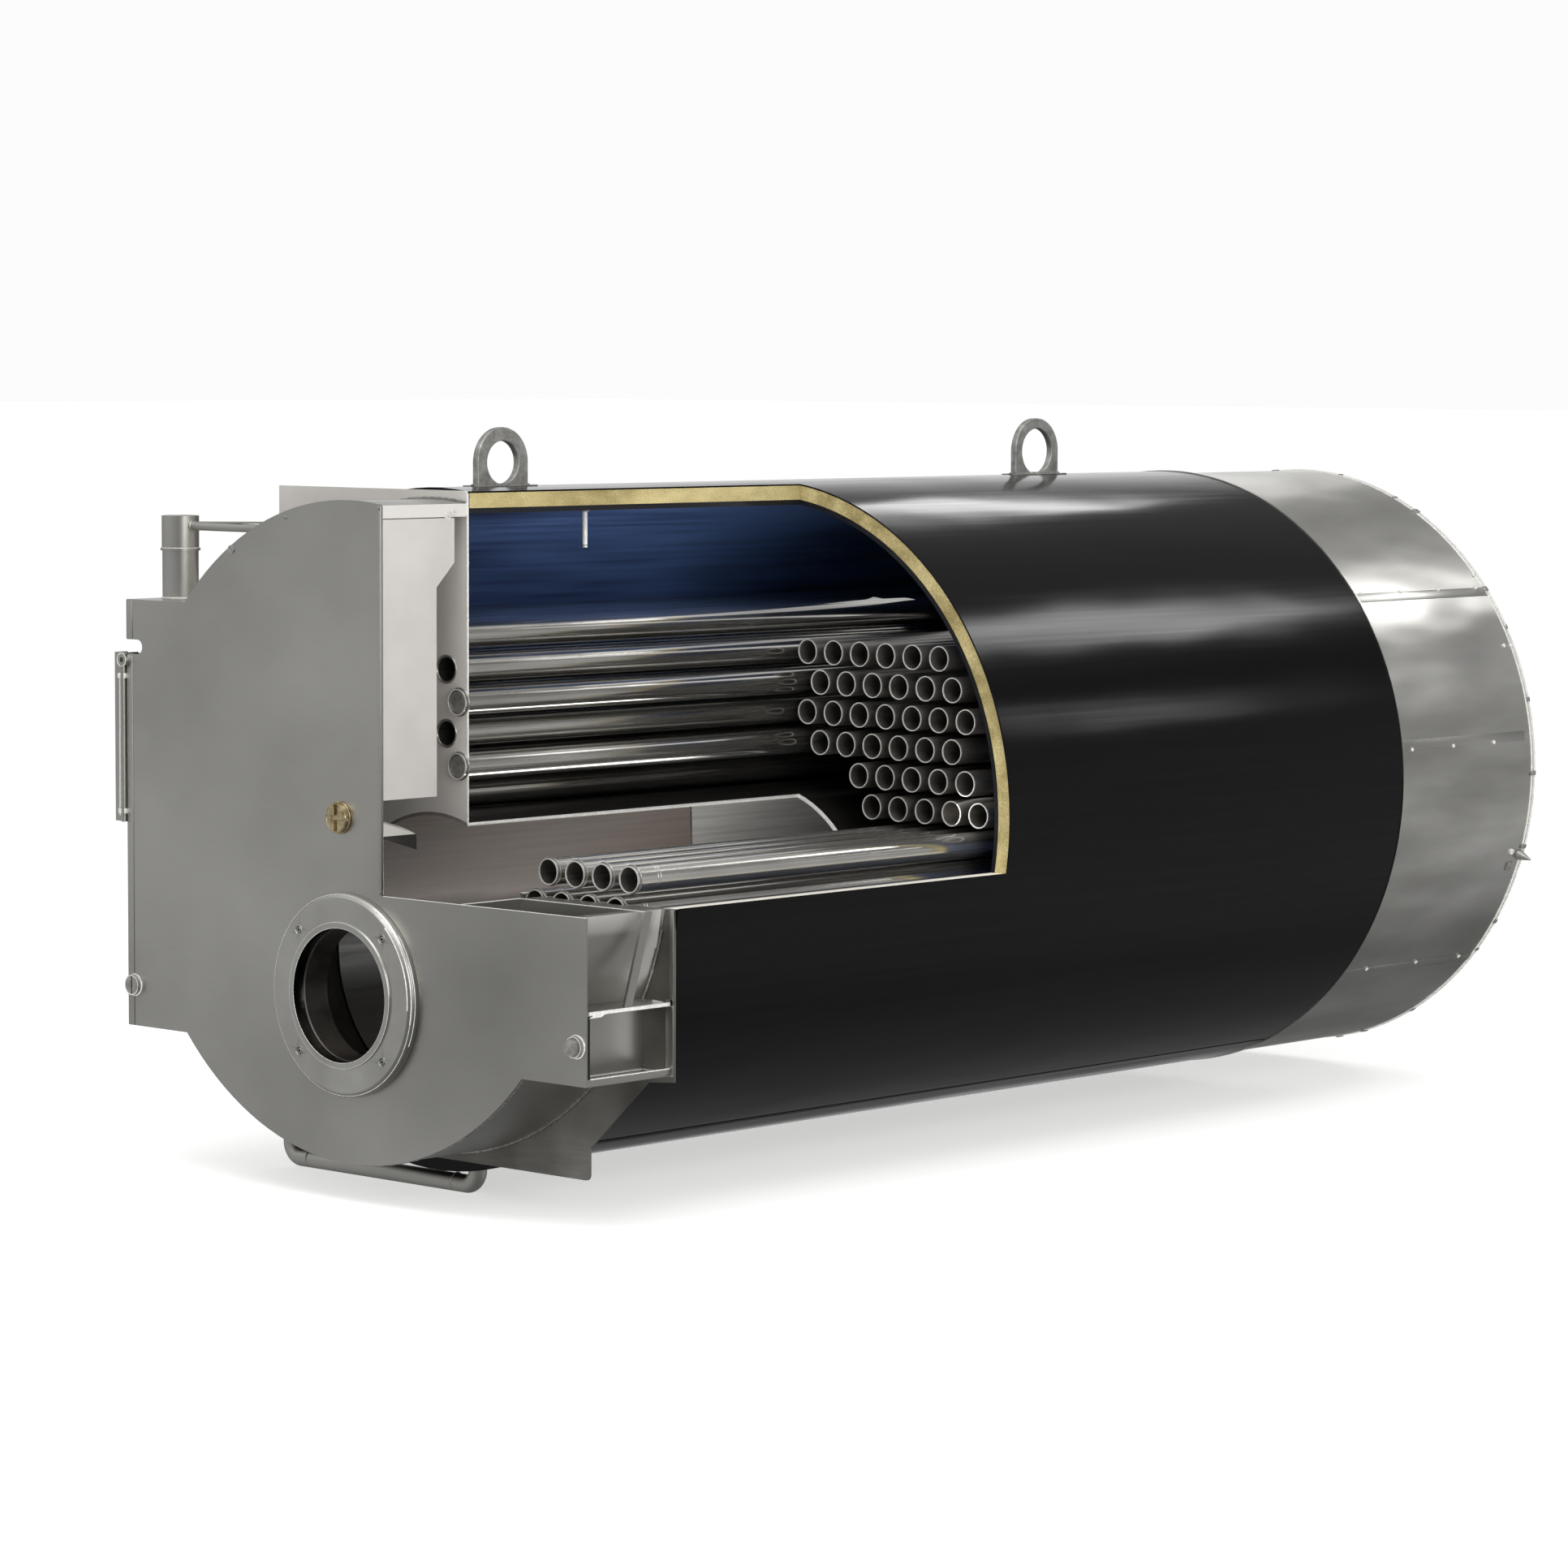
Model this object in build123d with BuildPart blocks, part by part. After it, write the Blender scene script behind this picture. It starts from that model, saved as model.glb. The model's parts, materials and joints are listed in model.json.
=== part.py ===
from build123d import *
from math import hypot
import os

# Cut-away horizontal fire-tube boiler, all sizes in millimetres.
# X runs to the right seen from the front, Y from the front plate to the rear, Z up.
# The origin is the centre of the burner opening on the front plate's outer face.

# shell layers, from the outside in
shell_r = 650
cladding_t = 3
insulation_t = 28
shell_t = 10
rear_step = 5
front_lip_t = 3
rear_cladding_t = 3

# stations along the boiler
front_plate_t = 4
smokebox_depth = 216
tube_plate_t = 4
cut_back = 918
black_length = 2204
rear_length = 495
rear_plate_t = 4
tube_plate_gap = 48
rear_tube_plate_t = 15

# the quarter that is cut away, from the boiler axis
cut_x = 90
cut_over_row = 13.4

# smokebox and its side boxes
drum_inset = 28
drum_t = 26
drum_lift = 8
drum_set_in = 2
left_overhang = 13
right_overhang = 5
box_top = 424
box_bottom = 408
box_t = 4
plate_side_inset = 16
plate_head_inset = 5
plate_foot_inset = 25
plate_step = 67
plate_lip = 12
plate_lip_in = 18
plate_foot_corner_w = 216
plate_head_corner_w = 197
plate_corner_drop = 85
plate_corner_r = 12
plate_cut_corner_r = 6
notch_z = 332
notch_h = 28
notch_depth = 46
wall_notch_depth = 60
shelf_drop = 169
shelf_t = 8
strut_t = 6
strut_w = 20
strut_top_y = 150
strut_foot_y = 98
inner_panel_depth = 79
inner_panel_gap = 10
floor_lip_h = 14
pocket_gap = 13
pocket_t = 3
pocket_back_y = 155
pocket_ledge_gap = 2

# burner opening
burner_r = 126
burner_below_furnace = 54
flange_r = 192
flange_t = 22
flange_step_r = 8
flange_rim_w = 12
flange_rim_t = 4
bolt_circle_r = 162
bolt_hole_r = 6.5
burner_sleeve_t = 8
burner_sleeve_depth = 56
throat_over = 18
throat_taper = 24
throat_t = 27
throat_depth = 86
throat_below_cut = 16

# door lining
lining_gap = 2
lining_depth = 138
lining_lip_depth = 184
lining_lip_h = 82
lining_chamfer = 45
lining_over_throat = 28
lining_edge_r = 14

# tubes
tube_r = 25.4
tube_wall = 2.6
tube_gap = 19.2
tube_clear = 5.1
shell_clear = 18
tube_stub = 8
furnace_r = 269
furnace_t = 6
furnace_clear = 94

# fittings
lug_t = 15
lug_front_w = 134
lug_front_hole_r = 41
lug_front_rise = 112
lug_front_y = 175
lug_rear_w = 140
lug_rear_hole_r = 48
lug_rear_rise = 119
lug_rear_y = 1758
lug_gap = 1.5
well_r = 5
well_y = 403
well_length = 82
well_gap = 0.1
vent_bore_r = 33
vent_t = 2.5
vent_inset = 39
vent_y = 115
vent_h = 93
sleeve_t = 3.5
sleeve_h = 68
bead_h = 5
bead_t = 2.5
rod_r = 8
rod_drop = 20
channel_w = 36
channel_d = 30
channel_t = 4
channel_low = -10
channel_high = 320
pin_r = 5
pin_out = 5
pin_gap = 0.2
pin_eye_r = 14
pin_eye_t = 8
pin_eye_hole_r = 5
knob_r = 28
knob_t = 12
knob_x = -22
knob_z = 37
knob_slot_w = 9
knob_slot_depth = 7
latch_r = 20
latch_t = 10
latch_z = -328
latch_slot_w = 5
latch_slot_depth = 4
button_r = 20
button_t = 10
button_cap_r = 15
button_cap_t = 10
button_inset = 23
button_z = -336
loop_r = 17.5
loop_bend = 30
loop_left = 452
loop_right = 109
loop_hang = 40
loop_gap = 5
flue_r = 140
flue_t = 4
flue_length = 90
flue_rise = 300
cleanout_r = 110
cleanout_t = 10
cleanout_drop = 260
clamp_r = 13
clamp_length = 34
clamp_taper = 18
clamp_angle = -16.8
clamp_inset = 16
clamp_sink = 2
trim_w = 6
trim_rise = 2

# derived stations and radii
plate_y = front_plate_t + smokebox_depth
shell_y = plate_y + tube_plate_t
cut_y = shell_y + cut_back
black_end = shell_y + black_length
rear_end = black_end + rear_length
rear_plate_y = black_end - tube_plate_gap
clad_in = shell_r - cladding_t
ins_in = clad_in - insulation_t
shell_in = ins_in - shell_t
rear_r = shell_r - rear_step
rear_in = rear_r - rear_cladding_t
drum_r = shell_r - drum_inset
drum_out = drum_r - drum_set_in
drum_in = drum_r - drum_t
left_x = drum_r + left_overhang
right_x = drum_r + right_overhang
sheet_root = drum_r / 2
far = 3 * shell_r

# furnace, throat and burner, below the boiler axis
furnace_drop = shell_in - furnace_clear - furnace_r - furnace_t
throat_r = furnace_r + throat_over
axis_z = furnace_drop + burner_below_furnace
furnace_z = axis_z - furnace_drop

# tube rows in a triangular pitch, each with its first column from the middle; row 0 lies on
# the furnace's crown, and the rest are counted up and down from it
tube_pitch = 2 * tube_r + tube_gap
row_rise = tube_pitch * 3 ** 0.5 / 2
crown_row_z = furnace_r + furnace_t - furnace_drop + tube_clear + tube_r
right_rows = [(4, 1.5), (3, 2), (2, 1.5), (1, 2), (0, 3.5), (-1, 4)]
lower_rows = [(-2, 4.5), (-3, 4)]
left_rows = [(5, 0), (4, 0.5), (3, 0), (2, 0.5), (1, 0), (0, 0.5), (-1, 4)]
flush_rows = [(4, 0.5), (2, 0.5)]
proud_rows = [(3, 1), (1, 1)]


def row_z(row):
    """Height of a tube row over the boiler axis."""
    return crown_row_z + row * row_rise


# the level cut runs a little over the middle of the lowest row
cut_z = row_z(lower_rows[-1][0]) + cut_over_row
shelf_z = cut_z - shelf_drop


def across(y):
    """Plane square to the boiler axis at station y, local X right and local Y up."""
    return Plane(origin=(0, y, axis_z), x_dir=(1, 0, 0), z_dir=(0, -1, 0))


def cut_quarter(y_from, y_to, level=cut_z):
    """Take away the upper right quarter between two stations."""
    with BuildSketch(across(y_from)) as outline:
        with Locations((cut_x, level)):
            Rectangle(far, far, align=(Align.MIN, Align.MIN))
    extrude(outline.sketch, amount=-(y_to - y_from), mode=Mode.SUBTRACT)


def notch(plane, depth):
    """Round-ended hand notch, let into a sheet from the plane's local X = 0."""
    with BuildSketch(plane) as outline:
        Rectangle(2 * (depth - notch_h / 2), notch_h)
        with Locations((depth - notch_h / 2, 0)):
            Circle(notch_h / 2)
    extrude(outline.sketch, amount=2 * box_t, both=True, mode=Mode.SUBTRACT)


# front plate: round door and the flat fronts of both side boxes in one sheet
with BuildPart() as front_plate:
    with BuildSketch(across(0)):
        with Locations((0, drum_lift)):
            Circle(drum_r)
        with Locations((-left_x, -box_bottom)):
            Rectangle(left_x + right_x, box_bottom + box_top, align=(Align.MIN, Align.MIN))
        with Locations((0, -axis_z)):
            Circle(burner_r, mode=Mode.SUBTRACT)
    extrude(amount=-front_plate_t)
    cut_quarter(0, front_plate_t)
    notch(Plane(origin=(-left_x, 0, axis_z + notch_z), x_dir=(1, 0, 0), z_dir=(0, -1, 0)),
          notch_depth)

# round wall of the smokebox
with BuildPart() as smokebox_drum:
    with BuildSketch(across(front_plate_t)):
        with Locations((0, drum_lift)):
            Circle(drum_out)
            Circle(drum_in, mode=Mode.SUBTRACT)
    extrude(amount=-smokebox_depth)
    cut_quarter(front_plate_t, plate_y)


def box_sheet(x_from, x_to, z_from, z_to, y_from=front_plate_t):
    """Flat piece of a side box up to the tube plate, trimmed where it meets the drum."""
    with BuildSketch(across(y_from)) as outline:
        with Locations((x_from, z_from)):
            Rectangle(x_to - x_from, z_to - z_from, align=(Align.MIN, Align.MIN))
        with Locations((0, drum_lift)):
            Circle(drum_out, mode=Mode.SUBTRACT)
    extrude(outline.sketch, amount=-(plate_y - y_from))


with BuildPart() as left_box_wall:
    box_sheet(-left_x, -left_x + box_t, -box_bottom, box_top)
    notch(Plane(origin=(-left_x, front_plate_t, axis_z + notch_z), x_dir=(0, 1, 0),
                z_dir=(1, 0, 0)), wall_notch_depth)

with BuildPart() as left_box_top:
    box_sheet(-left_x + box_t, -sheet_root, box_top - box_t, box_top)

with BuildPart() as left_box_bottom:
    box_sheet(-left_x + box_t, -sheet_root, -box_bottom, -box_bottom + box_t)

# floor of the right box with a turned-up lip on the open side
with BuildPart() as right_box_floor:
    box_sheet(sheet_root, right_x, -box_bottom, -box_bottom + box_t)
    box_sheet(right_x - box_t, right_x, -box_bottom, -box_bottom + floor_lip_h)

with BuildPart() as right_box_shelf:
    box_sheet(sheet_root, right_x, shelf_z - shelf_t, shelf_z)

# upright sheet that closes the lower compartment towards the drum
inner_panel_x = right_x - inner_panel_depth
with BuildPart() as right_box_panel:
    box_sheet(inner_panel_x, inner_panel_x + box_t, -box_bottom + box_t, shelf_z - shelf_t,
              front_plate_t + inner_panel_gap)

# bent sheet inside the drum: side wall, back wall and the ledge in front of the tube ends
pocket_x = throat_r + pocket_gap
with BuildPart() as pocket_sheet:
    with BuildSketch(Plane.XY.offset(axis_z + shelf_z)):
        Polygon((pocket_x, front_plate_t), (pocket_x + pocket_t, front_plate_t),
                (pocket_x + pocket_t, pocket_back_y - pocket_t), (far, pocket_back_y - pocket_t),
                (far, pocket_back_y), (pocket_x, pocket_back_y), align=None)
    extrude(amount=shelf_drop)
    with BuildSketch(Plane.XY.offset(axis_z + cut_z - pocket_t)):
        with Locations((pocket_x, pocket_back_y)):
            Rectangle(far, plate_y - tube_stub - pocket_ledge_gap - pocket_back_y,
                      align=(Align.MIN, Align.MIN))
    extrude(amount=pocket_t)
    with BuildSketch(across(front_plate_t)):
        with Locations((0, drum_lift)):
            Circle(drum_in)
    extrude(amount=-smokebox_depth, mode=Mode.INTERSECT)

# slanted strip that stands on the shelf at the open side
with BuildPart() as right_box_strut:
    with BuildSketch(Plane(origin=(right_x - strut_t, 0, axis_z), x_dir=(0, 1, 0),
                           z_dir=(1, 0, 0))):
        Polygon((strut_top_y, cut_z), (strut_top_y + strut_w, cut_z),
                (strut_foot_y + strut_w, shelf_z), (strut_foot_y, shelf_z), align=None)
    extrude(amount=strut_t)

# burner flange, sleeve and the tapered throat behind them
with BuildPart() as burner_flange:
    with BuildSketch(Plane.XZ):
        Circle(flange_r)
        Circle(burner_r, mode=Mode.SUBTRACT)
        with PolarLocations(bolt_circle_r, 4, start_angle=45):
            Circle(bolt_hole_r, mode=Mode.SUBTRACT)
    extrude(amount=flange_t)
    outer_edge = burner_flange.edges().filter_by(GeomType.CIRCLE).filter_by(
        lambda e: e.radius > (flange_r + bolt_circle_r) / 2).sort_by(Axis.Y)[0]
    chamfer(outer_edge, flange_step_r)
    with BuildSketch(Plane.XZ.offset(flange_t)):
        Circle(burner_r + flange_rim_w)
        Circle(burner_r, mode=Mode.SUBTRACT)
    extrude(amount=flange_rim_t)

with BuildPart() as burner_sleeve:
    with BuildSketch(Plane.XZ.offset(-front_plate_t)):
        Circle(burner_r + burner_sleeve_t)
        Circle(burner_r, mode=Mode.SUBTRACT)
    extrude(amount=-burner_sleeve_depth)

# tapered ring on the furnace axis, which leads the flame into the furnace
with BuildPart() as throat_ring:
    with BuildSketch(Plane.XY.offset(furnace_z)):
        Polygon((throat_r, front_plate_t),
                (throat_r - throat_taper, front_plate_t + throat_depth),
                (throat_r - throat_taper - throat_t, front_plate_t + throat_depth),
                (throat_r - throat_t, front_plate_t), align=None)
    revolve(axis=Axis((0, 0, furnace_z), (0, 1, 0)))
    cut_quarter(0, plate_y, cut_z - throat_below_cut)

# block of lining behind the door: a stepped disc, flat below, with a rounded lower edge
lining_r = drum_in - lining_gap
lining_floor = throat_r - furnace_drop + lining_over_throat
lining_back = front_plate_t + lining_depth
lining_lip = front_plate_t + lining_lip_depth
door_z = axis_z + drum_lift
with BuildPart() as door_lining:
    with BuildSketch(Plane.XY.offset(door_z)):
        Polygon((0, front_plate_t), (lining_r, front_plate_t), (lining_r, lining_lip),
                (lining_r - lining_lip_h, lining_lip),
                (lining_r - lining_lip_h - lining_chamfer, lining_back),
                (0, lining_back), align=None)
    revolve(axis=Axis((0, 0, door_z), (0, 1, 0)))
    with BuildSketch(across(front_plate_t)):
        Rectangle(far, far, align=(Align.CENTER, Align.MAX))
        with Locations((0, lining_floor)):
            Rectangle(far, far, align=(Align.CENTER, Align.MAX))
    extrude(amount=-smokebox_depth, mode=Mode.SUBTRACT)
    cut_quarter(0, plate_y)
    fillet(door_lining.edges().filter_by(Axis.X).group_by(Axis.Z)[0].sort_by(Axis.Y)[-1],
           lining_edge_r)


def spots(rows, side):
    """Tube centres of some rows, from the first column out to the shell, clear of the furnace."""
    centres = []
    for row, first in rows:
        z = row_z(row)
        column = first
        while hypot(column * tube_pitch, z) < shell_in - tube_r - shell_clear:
            if hypot(column * tube_pitch, z + furnace_drop) > (
                    furnace_r + furnace_t + tube_r + tube_clear / 2):
                centres.append((side * column * tube_pitch, z))
            column += 1
    return centres


flush_spots = [(column * tube_pitch, row_z(row)) for row, column in flush_rows]
proud_spots = [(column * tube_pitch, row_z(row)) for row, column in proud_rows]


def tubes(y_from, y_to, centres, bore=True):
    """Straight tubes between two stations."""
    with BuildSketch(across(y_from)) as outline:
        with Locations(*centres):
            Circle(tube_r)
            if bore:
                Circle(tube_r - tube_wall, mode=Mode.SUBTRACT)
    extrude(outline.sketch, amount=-(y_to - y_from))


# front tube plate: a full-height sheet with stepped corners that close both side boxes
plate_half = shell_r - plate_side_inset
plate_head = shell_r - plate_head_inset
plate_foot = shell_r - plate_foot_inset
plate_head_x = plate_half - plate_head_corner_w
plate_foot_x = plate_half - plate_foot_corner_w
plate_corner_z = shell_r - plate_corner_drop
with BuildPart() as front_tube_plate:
    with BuildSketch(across(plate_y)):
        with BuildLine():
            Polyline((0, -plate_foot), (plate_foot_x, -plate_foot),
                     (plate_foot_x, -plate_corner_z),
                     (plate_half - plate_step, -box_bottom - plate_lip_in),
                     (plate_half, -box_bottom - plate_lip), (plate_half, box_top),
                     (plate_half - plate_step, box_top + plate_lip),
                     (plate_head_x, plate_corner_z), (plate_head_x, plate_head),
                     (0, plate_head))
            mirror(about=Plane.YZ)
        make_face()
        with Locations((0, -furnace_drop)):
            Circle(furnace_r + furnace_t, mode=Mode.SUBTRACT)
        with Locations(*flush_spots, *proud_spots, *spots(lower_rows, 1)):
            Circle(tube_r, mode=Mode.SUBTRACT)
    extrude(amount=-tube_plate_t)
    corners = front_tube_plate.edges().filter_by(Axis.Y).group_by(Axis.Z)[0]
    fillet(corners, plate_corner_r)
    cut_quarter(plate_y, shell_y)
    cut_corner = front_tube_plate.edges().filter_by(Axis.Y).group_by(Axis.Z)[-1].sort_by(Axis.X)[-1]
    fillet(cut_corner, plate_cut_corner_r)

with BuildPart() as rear_tube_plate:
    with BuildSketch(across(rear_plate_y)):
        Circle(shell_in)
    extrude(amount=-rear_tube_plate_t)

with BuildPart() as left_tubes:
    tubes(shell_y, rear_plate_y, spots(left_rows, -1), bore=False)

with BuildPart() as front_tubes:
    tubes(plate_y, rear_plate_y, flush_spots)
    tubes(plate_y - tube_stub, rear_plate_y, proud_spots)

with BuildPart() as right_tubes:
    tubes(cut_y + tube_stub, rear_plate_y, spots(right_rows, 1))

with BuildPart() as lower_right_tubes:
    tubes(plate_y - tube_stub, rear_plate_y, spots(lower_rows, 1))

with BuildPart() as furnace_tube:
    with BuildSketch(across(plate_y)):
        with Locations((0, -furnace_drop)):
            Circle(furnace_r + furnace_t)
            Circle(furnace_r, mode=Mode.SUBTRACT)
    extrude(amount=-(rear_plate_y - plate_y))
    cut_quarter(plate_y, cut_y)


def lug_slot(y, width):
    """Slot through a shell layer that the foot of a lug stands in."""
    with BuildSketch(Plane.XY.offset(axis_z)) as outline:
        with Locations((0, y)):
            Rectangle(lug_t + 2 * lug_gap, width + 2 * lug_gap)
    extrude(outline.sketch, amount=far, mode=Mode.SUBTRACT)


def shell_layer(outer, inner, y_from, y_to):
    """One round layer of the shell with the open quarter."""
    with BuildSketch(across(y_from)) as outline:
        Circle(outer)
        Circle(inner, mode=Mode.SUBTRACT)
    extrude(outline.sketch, amount=-(y_to - y_from))
    cut_quarter(y_from, cut_y)


# the cladding turns in over the front end of the insulation
lip_y = shell_y + front_lip_t
with BuildPart() as outer_cladding:
    shell_layer(shell_r, ins_in, shell_y, lip_y)
    shell_layer(shell_r, clad_in, lip_y, black_end)
    lug_slot(plate_y + lug_front_y, lug_front_w)
    lug_slot(plate_y + lug_rear_y, lug_rear_w)

with BuildPart() as insulation:
    shell_layer(clad_in, ins_in, lip_y, black_end)
    lug_slot(plate_y + lug_front_y, lug_front_w)
    lug_slot(plate_y + lug_rear_y, lug_rear_w)

with BuildPart() as pressure_shell:
    shell_layer(ins_in, shell_in, shell_y, black_end)


def lug(y, width, hole_r, rise):
    """Lifting lug: a plate with a round head and a large eye, welded to the inner shell."""
    side = Plane(origin=(-lug_t / 2, y, axis_z), x_dir=(0, 1, 0), z_dir=(1, 0, 0))
    with BuildSketch(side) as outline:
        with Locations((0, ins_in - lug_t)):
            Rectangle(width, shell_r + rise - width / 2 - ins_in + lug_t,
                      align=(Align.CENTER, Align.MIN))
        with Locations((0, shell_r + rise - width / 2)):
            Circle(width / 2)
            Circle(hole_r, mode=Mode.SUBTRACT)
    extrude(outline.sketch, amount=lug_t)
    with BuildSketch(across(shell_y)) as outline:
        Circle(ins_in)
    extrude(outline.sketch, amount=-black_length, mode=Mode.SUBTRACT)


with BuildPart() as lifting_lug_front:
    lug(plate_y + lug_front_y, lug_front_w, lug_front_hole_r, lug_front_rise)

with BuildPart() as lifting_lug_rear:
    lug(plate_y + lug_rear_y, lug_rear_w, lug_rear_hole_r, lug_rear_rise)

# thermometer well hanging from the crown of the inner shell
with BuildPart() as thermowell:
    with BuildSketch(Plane.XY.offset(axis_z + shell_in - well_gap)):
        with Locations((0, plate_y + well_y)):
            Circle(well_r)
    extrude(amount=-well_length)

with BuildPart() as boundary_trim:
    with BuildSketch(across(black_end)):
        Circle(shell_r + trim_rise)
        Circle(rear_r, mode=Mode.SUBTRACT)
    extrude(amount=-trim_w)

with BuildPart() as rear_cladding:
    with BuildSketch(across(black_end)):
        Circle(rear_r)
        Circle(rear_in, mode=Mode.SUBTRACT)
    extrude(amount=-rear_length)

with BuildPart() as rear_end_plate:
    with BuildSketch(across(rear_end - rear_plate_t)):
        Circle(rear_in)
        with Locations((0, flue_rise)):
            Circle(flue_r - flue_t, mode=Mode.SUBTRACT)
    extrude(amount=-rear_plate_t)

with BuildPart() as flue_collar:
    with BuildSketch(across(rear_end)):
        with Locations((0, flue_rise)):
            Circle(flue_r)
            Circle(flue_r - flue_t, mode=Mode.SUBTRACT)
    extrude(amount=-flue_length)

with BuildPart() as cleanout_cover:
    with BuildSketch(across(rear_end)):
        with Locations((0, -cleanout_drop)):
            Circle(cleanout_r)
    extrude(amount=-cleanout_t)

# cone-shaped clamp on the right of the rear cladding
clamp_out = Vector(1, 0, 0).rotate(Axis.Y, -clamp_angle)
with BuildPart() as rear_clamp:
    with BuildSketch(Plane(origin=Vector(0, rear_end - clamp_inset, axis_z)
                           + clamp_out * (rear_r - clamp_sink), x_dir=(0, 1, 0), z_dir=clamp_out)):
        Circle(clamp_r)
    extrude(amount=clamp_length, taper=clamp_taper)
    with BuildSketch(across(black_end)):
        Circle(rear_r)
    extrude(amount=-rear_length, mode=Mode.SUBTRACT)

# vent pipe on the left box, its sleeve with a bead at the joint, and the rod to the drum
vent_foot = Plane.XY.offset(axis_z + box_top)
vent_at = (vent_inset - left_x, plate_y - vent_y)
vent_r = vent_bore_r + vent_t
sleeve_r = vent_bore_r + sleeve_t
with BuildPart() as vent_pipe:
    with BuildSketch(vent_foot):
        with Locations(vent_at):
            Circle(vent_r)
            Circle(vent_bore_r, mode=Mode.SUBTRACT)
    extrude(amount=vent_h)

with BuildPart() as vent_sleeve:
    with BuildSketch(vent_foot.offset(vent_h)):
        with Locations(vent_at):
            Circle(sleeve_r)
            Circle(vent_bore_r, mode=Mode.SUBTRACT)
    extrude(amount=sleeve_h)
    with BuildSketch(vent_foot.offset(vent_h)):
        with Locations(vent_at):
            Circle(sleeve_r + bead_t)
            Circle(vent_bore_r, mode=Mode.SUBTRACT)
    extrude(amount=bead_h)

with BuildPart() as vent_rod:
    with BuildSketch(Plane(origin=(vent_at[0], vent_at[1], vent_foot.origin.Z + vent_h + sleeve_h
                                   - rod_drop), x_dir=(0, 1, 0), z_dir=(1, 0, 0))):
        Circle(rod_r)
    extrude(amount=-vent_at[0])
    with BuildSketch(vent_foot):
        with Locations(vent_at):
            Circle(sleeve_r)
    extrude(amount=far, mode=Mode.SUBTRACT)
    with BuildSketch(across(front_plate_t)):
        with Locations((0, drum_lift)):
            Circle(drum_out)
    extrude(amount=-smokebox_depth, mode=Mode.SUBTRACT)

# door hinge on the left edge: a channel with its pin
with BuildPart() as hinge_channel:
    with BuildSketch(Plane.XY.offset(axis_z + channel_low)):
        with Locations((-left_x - channel_w, 0)):
            Rectangle(channel_w, channel_d, align=(Align.MIN, Align.MIN))
            with Locations((channel_t, channel_t)):
                Rectangle(channel_w - 2 * channel_t, channel_d, align=(Align.MIN, Align.MIN),
                          mode=Mode.SUBTRACT)
    extrude(amount=channel_high - channel_low)

# pin with a flat eye at its top, in front of the joint between channel and front plate
pin_at = (-left_x - pin_out, -pin_r - pin_gap)
with BuildPart() as hinge_pin:
    with BuildSketch(Plane.XY.offset(axis_z + channel_low)):
        with Locations(pin_at):
            Circle(pin_r)
    extrude(amount=channel_high - channel_low - pin_eye_r)
    with BuildSketch(Plane.XZ.offset(-pin_at[1])):
        with Locations((pin_at[0], axis_z + channel_high - pin_eye_r)):
            Circle(pin_eye_r)
    extrude(amount=pin_eye_t / 2, both=True)
    with BuildSketch(Plane.XZ.offset(-pin_at[1])):
        with Locations((pin_at[0], axis_z + channel_high - pin_eye_r)):
            Circle(pin_eye_hole_r)
    extrude(amount=pin_eye_t, both=True, mode=Mode.SUBTRACT)


def boss(x, z, r, t, stand=0):
    """Round boss on the front plate, or on another boss that stands out from it."""
    with BuildSketch(Plane.XZ.offset(stand)) as outline:
        with Locations((x, axis_z + z)):
            Circle(r)
    extrude(outline.sketch, amount=t)


def slot(x, z, r, t, width, depth, angle):
    """Straight slot across the face of a boss."""
    with BuildSketch(Plane.XZ.offset(t)) as outline:
        with Locations((x, axis_z + z)):
            Rectangle(2 * r, width, rotation=angle)
    extrude(outline.sketch, amount=-depth, mode=Mode.SUBTRACT)


with BuildPart() as sight_knob:
    boss(knob_x, knob_z, knob_r, knob_t)
    slot(knob_x, knob_z, knob_r, knob_t, knob_slot_w, knob_slot_depth, 0)
    slot(knob_x, knob_z, knob_r, knob_t, knob_slot_w, knob_slot_depth, 90)

with BuildPart() as left_latch:
    boss(latch_r - left_x, latch_z, latch_r, latch_t)
    slot(latch_r - left_x, latch_z, latch_r, latch_t, latch_slot_w, latch_slot_depth, 90)

with BuildPart() as right_button:
    boss(right_x - button_inset, button_z, button_r, button_t)
    boss(right_x - button_inset, button_z, button_cap_r, button_cap_t, button_t)

# bent drain pipe under the tube plate, which the boiler stands on in front
loop_y = shell_y + loop_gap + loop_r
low = axis_z - shell_r - loop_hang + loop_r
with BuildPart() as drain_loop:
    with BuildLine():
        path = FilletPolyline((-loop_left + loop_r, loop_y, axis_z - shell_r / 2),
                              (-loop_left + loop_r, loop_y, low),
                              (loop_right - loop_r, loop_y, low),
                              (loop_right - loop_r, loop_y, axis_z - shell_r / 2),
                              radius=loop_bend)
    with BuildSketch(Plane(origin=path @ 0, z_dir=path % 0)):
        Circle(loop_r)
    sweep()
    with BuildSketch(across(shell_y)):
        Circle(shell_r)
    extrude(amount=-black_length, mode=Mode.SUBTRACT)

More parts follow.
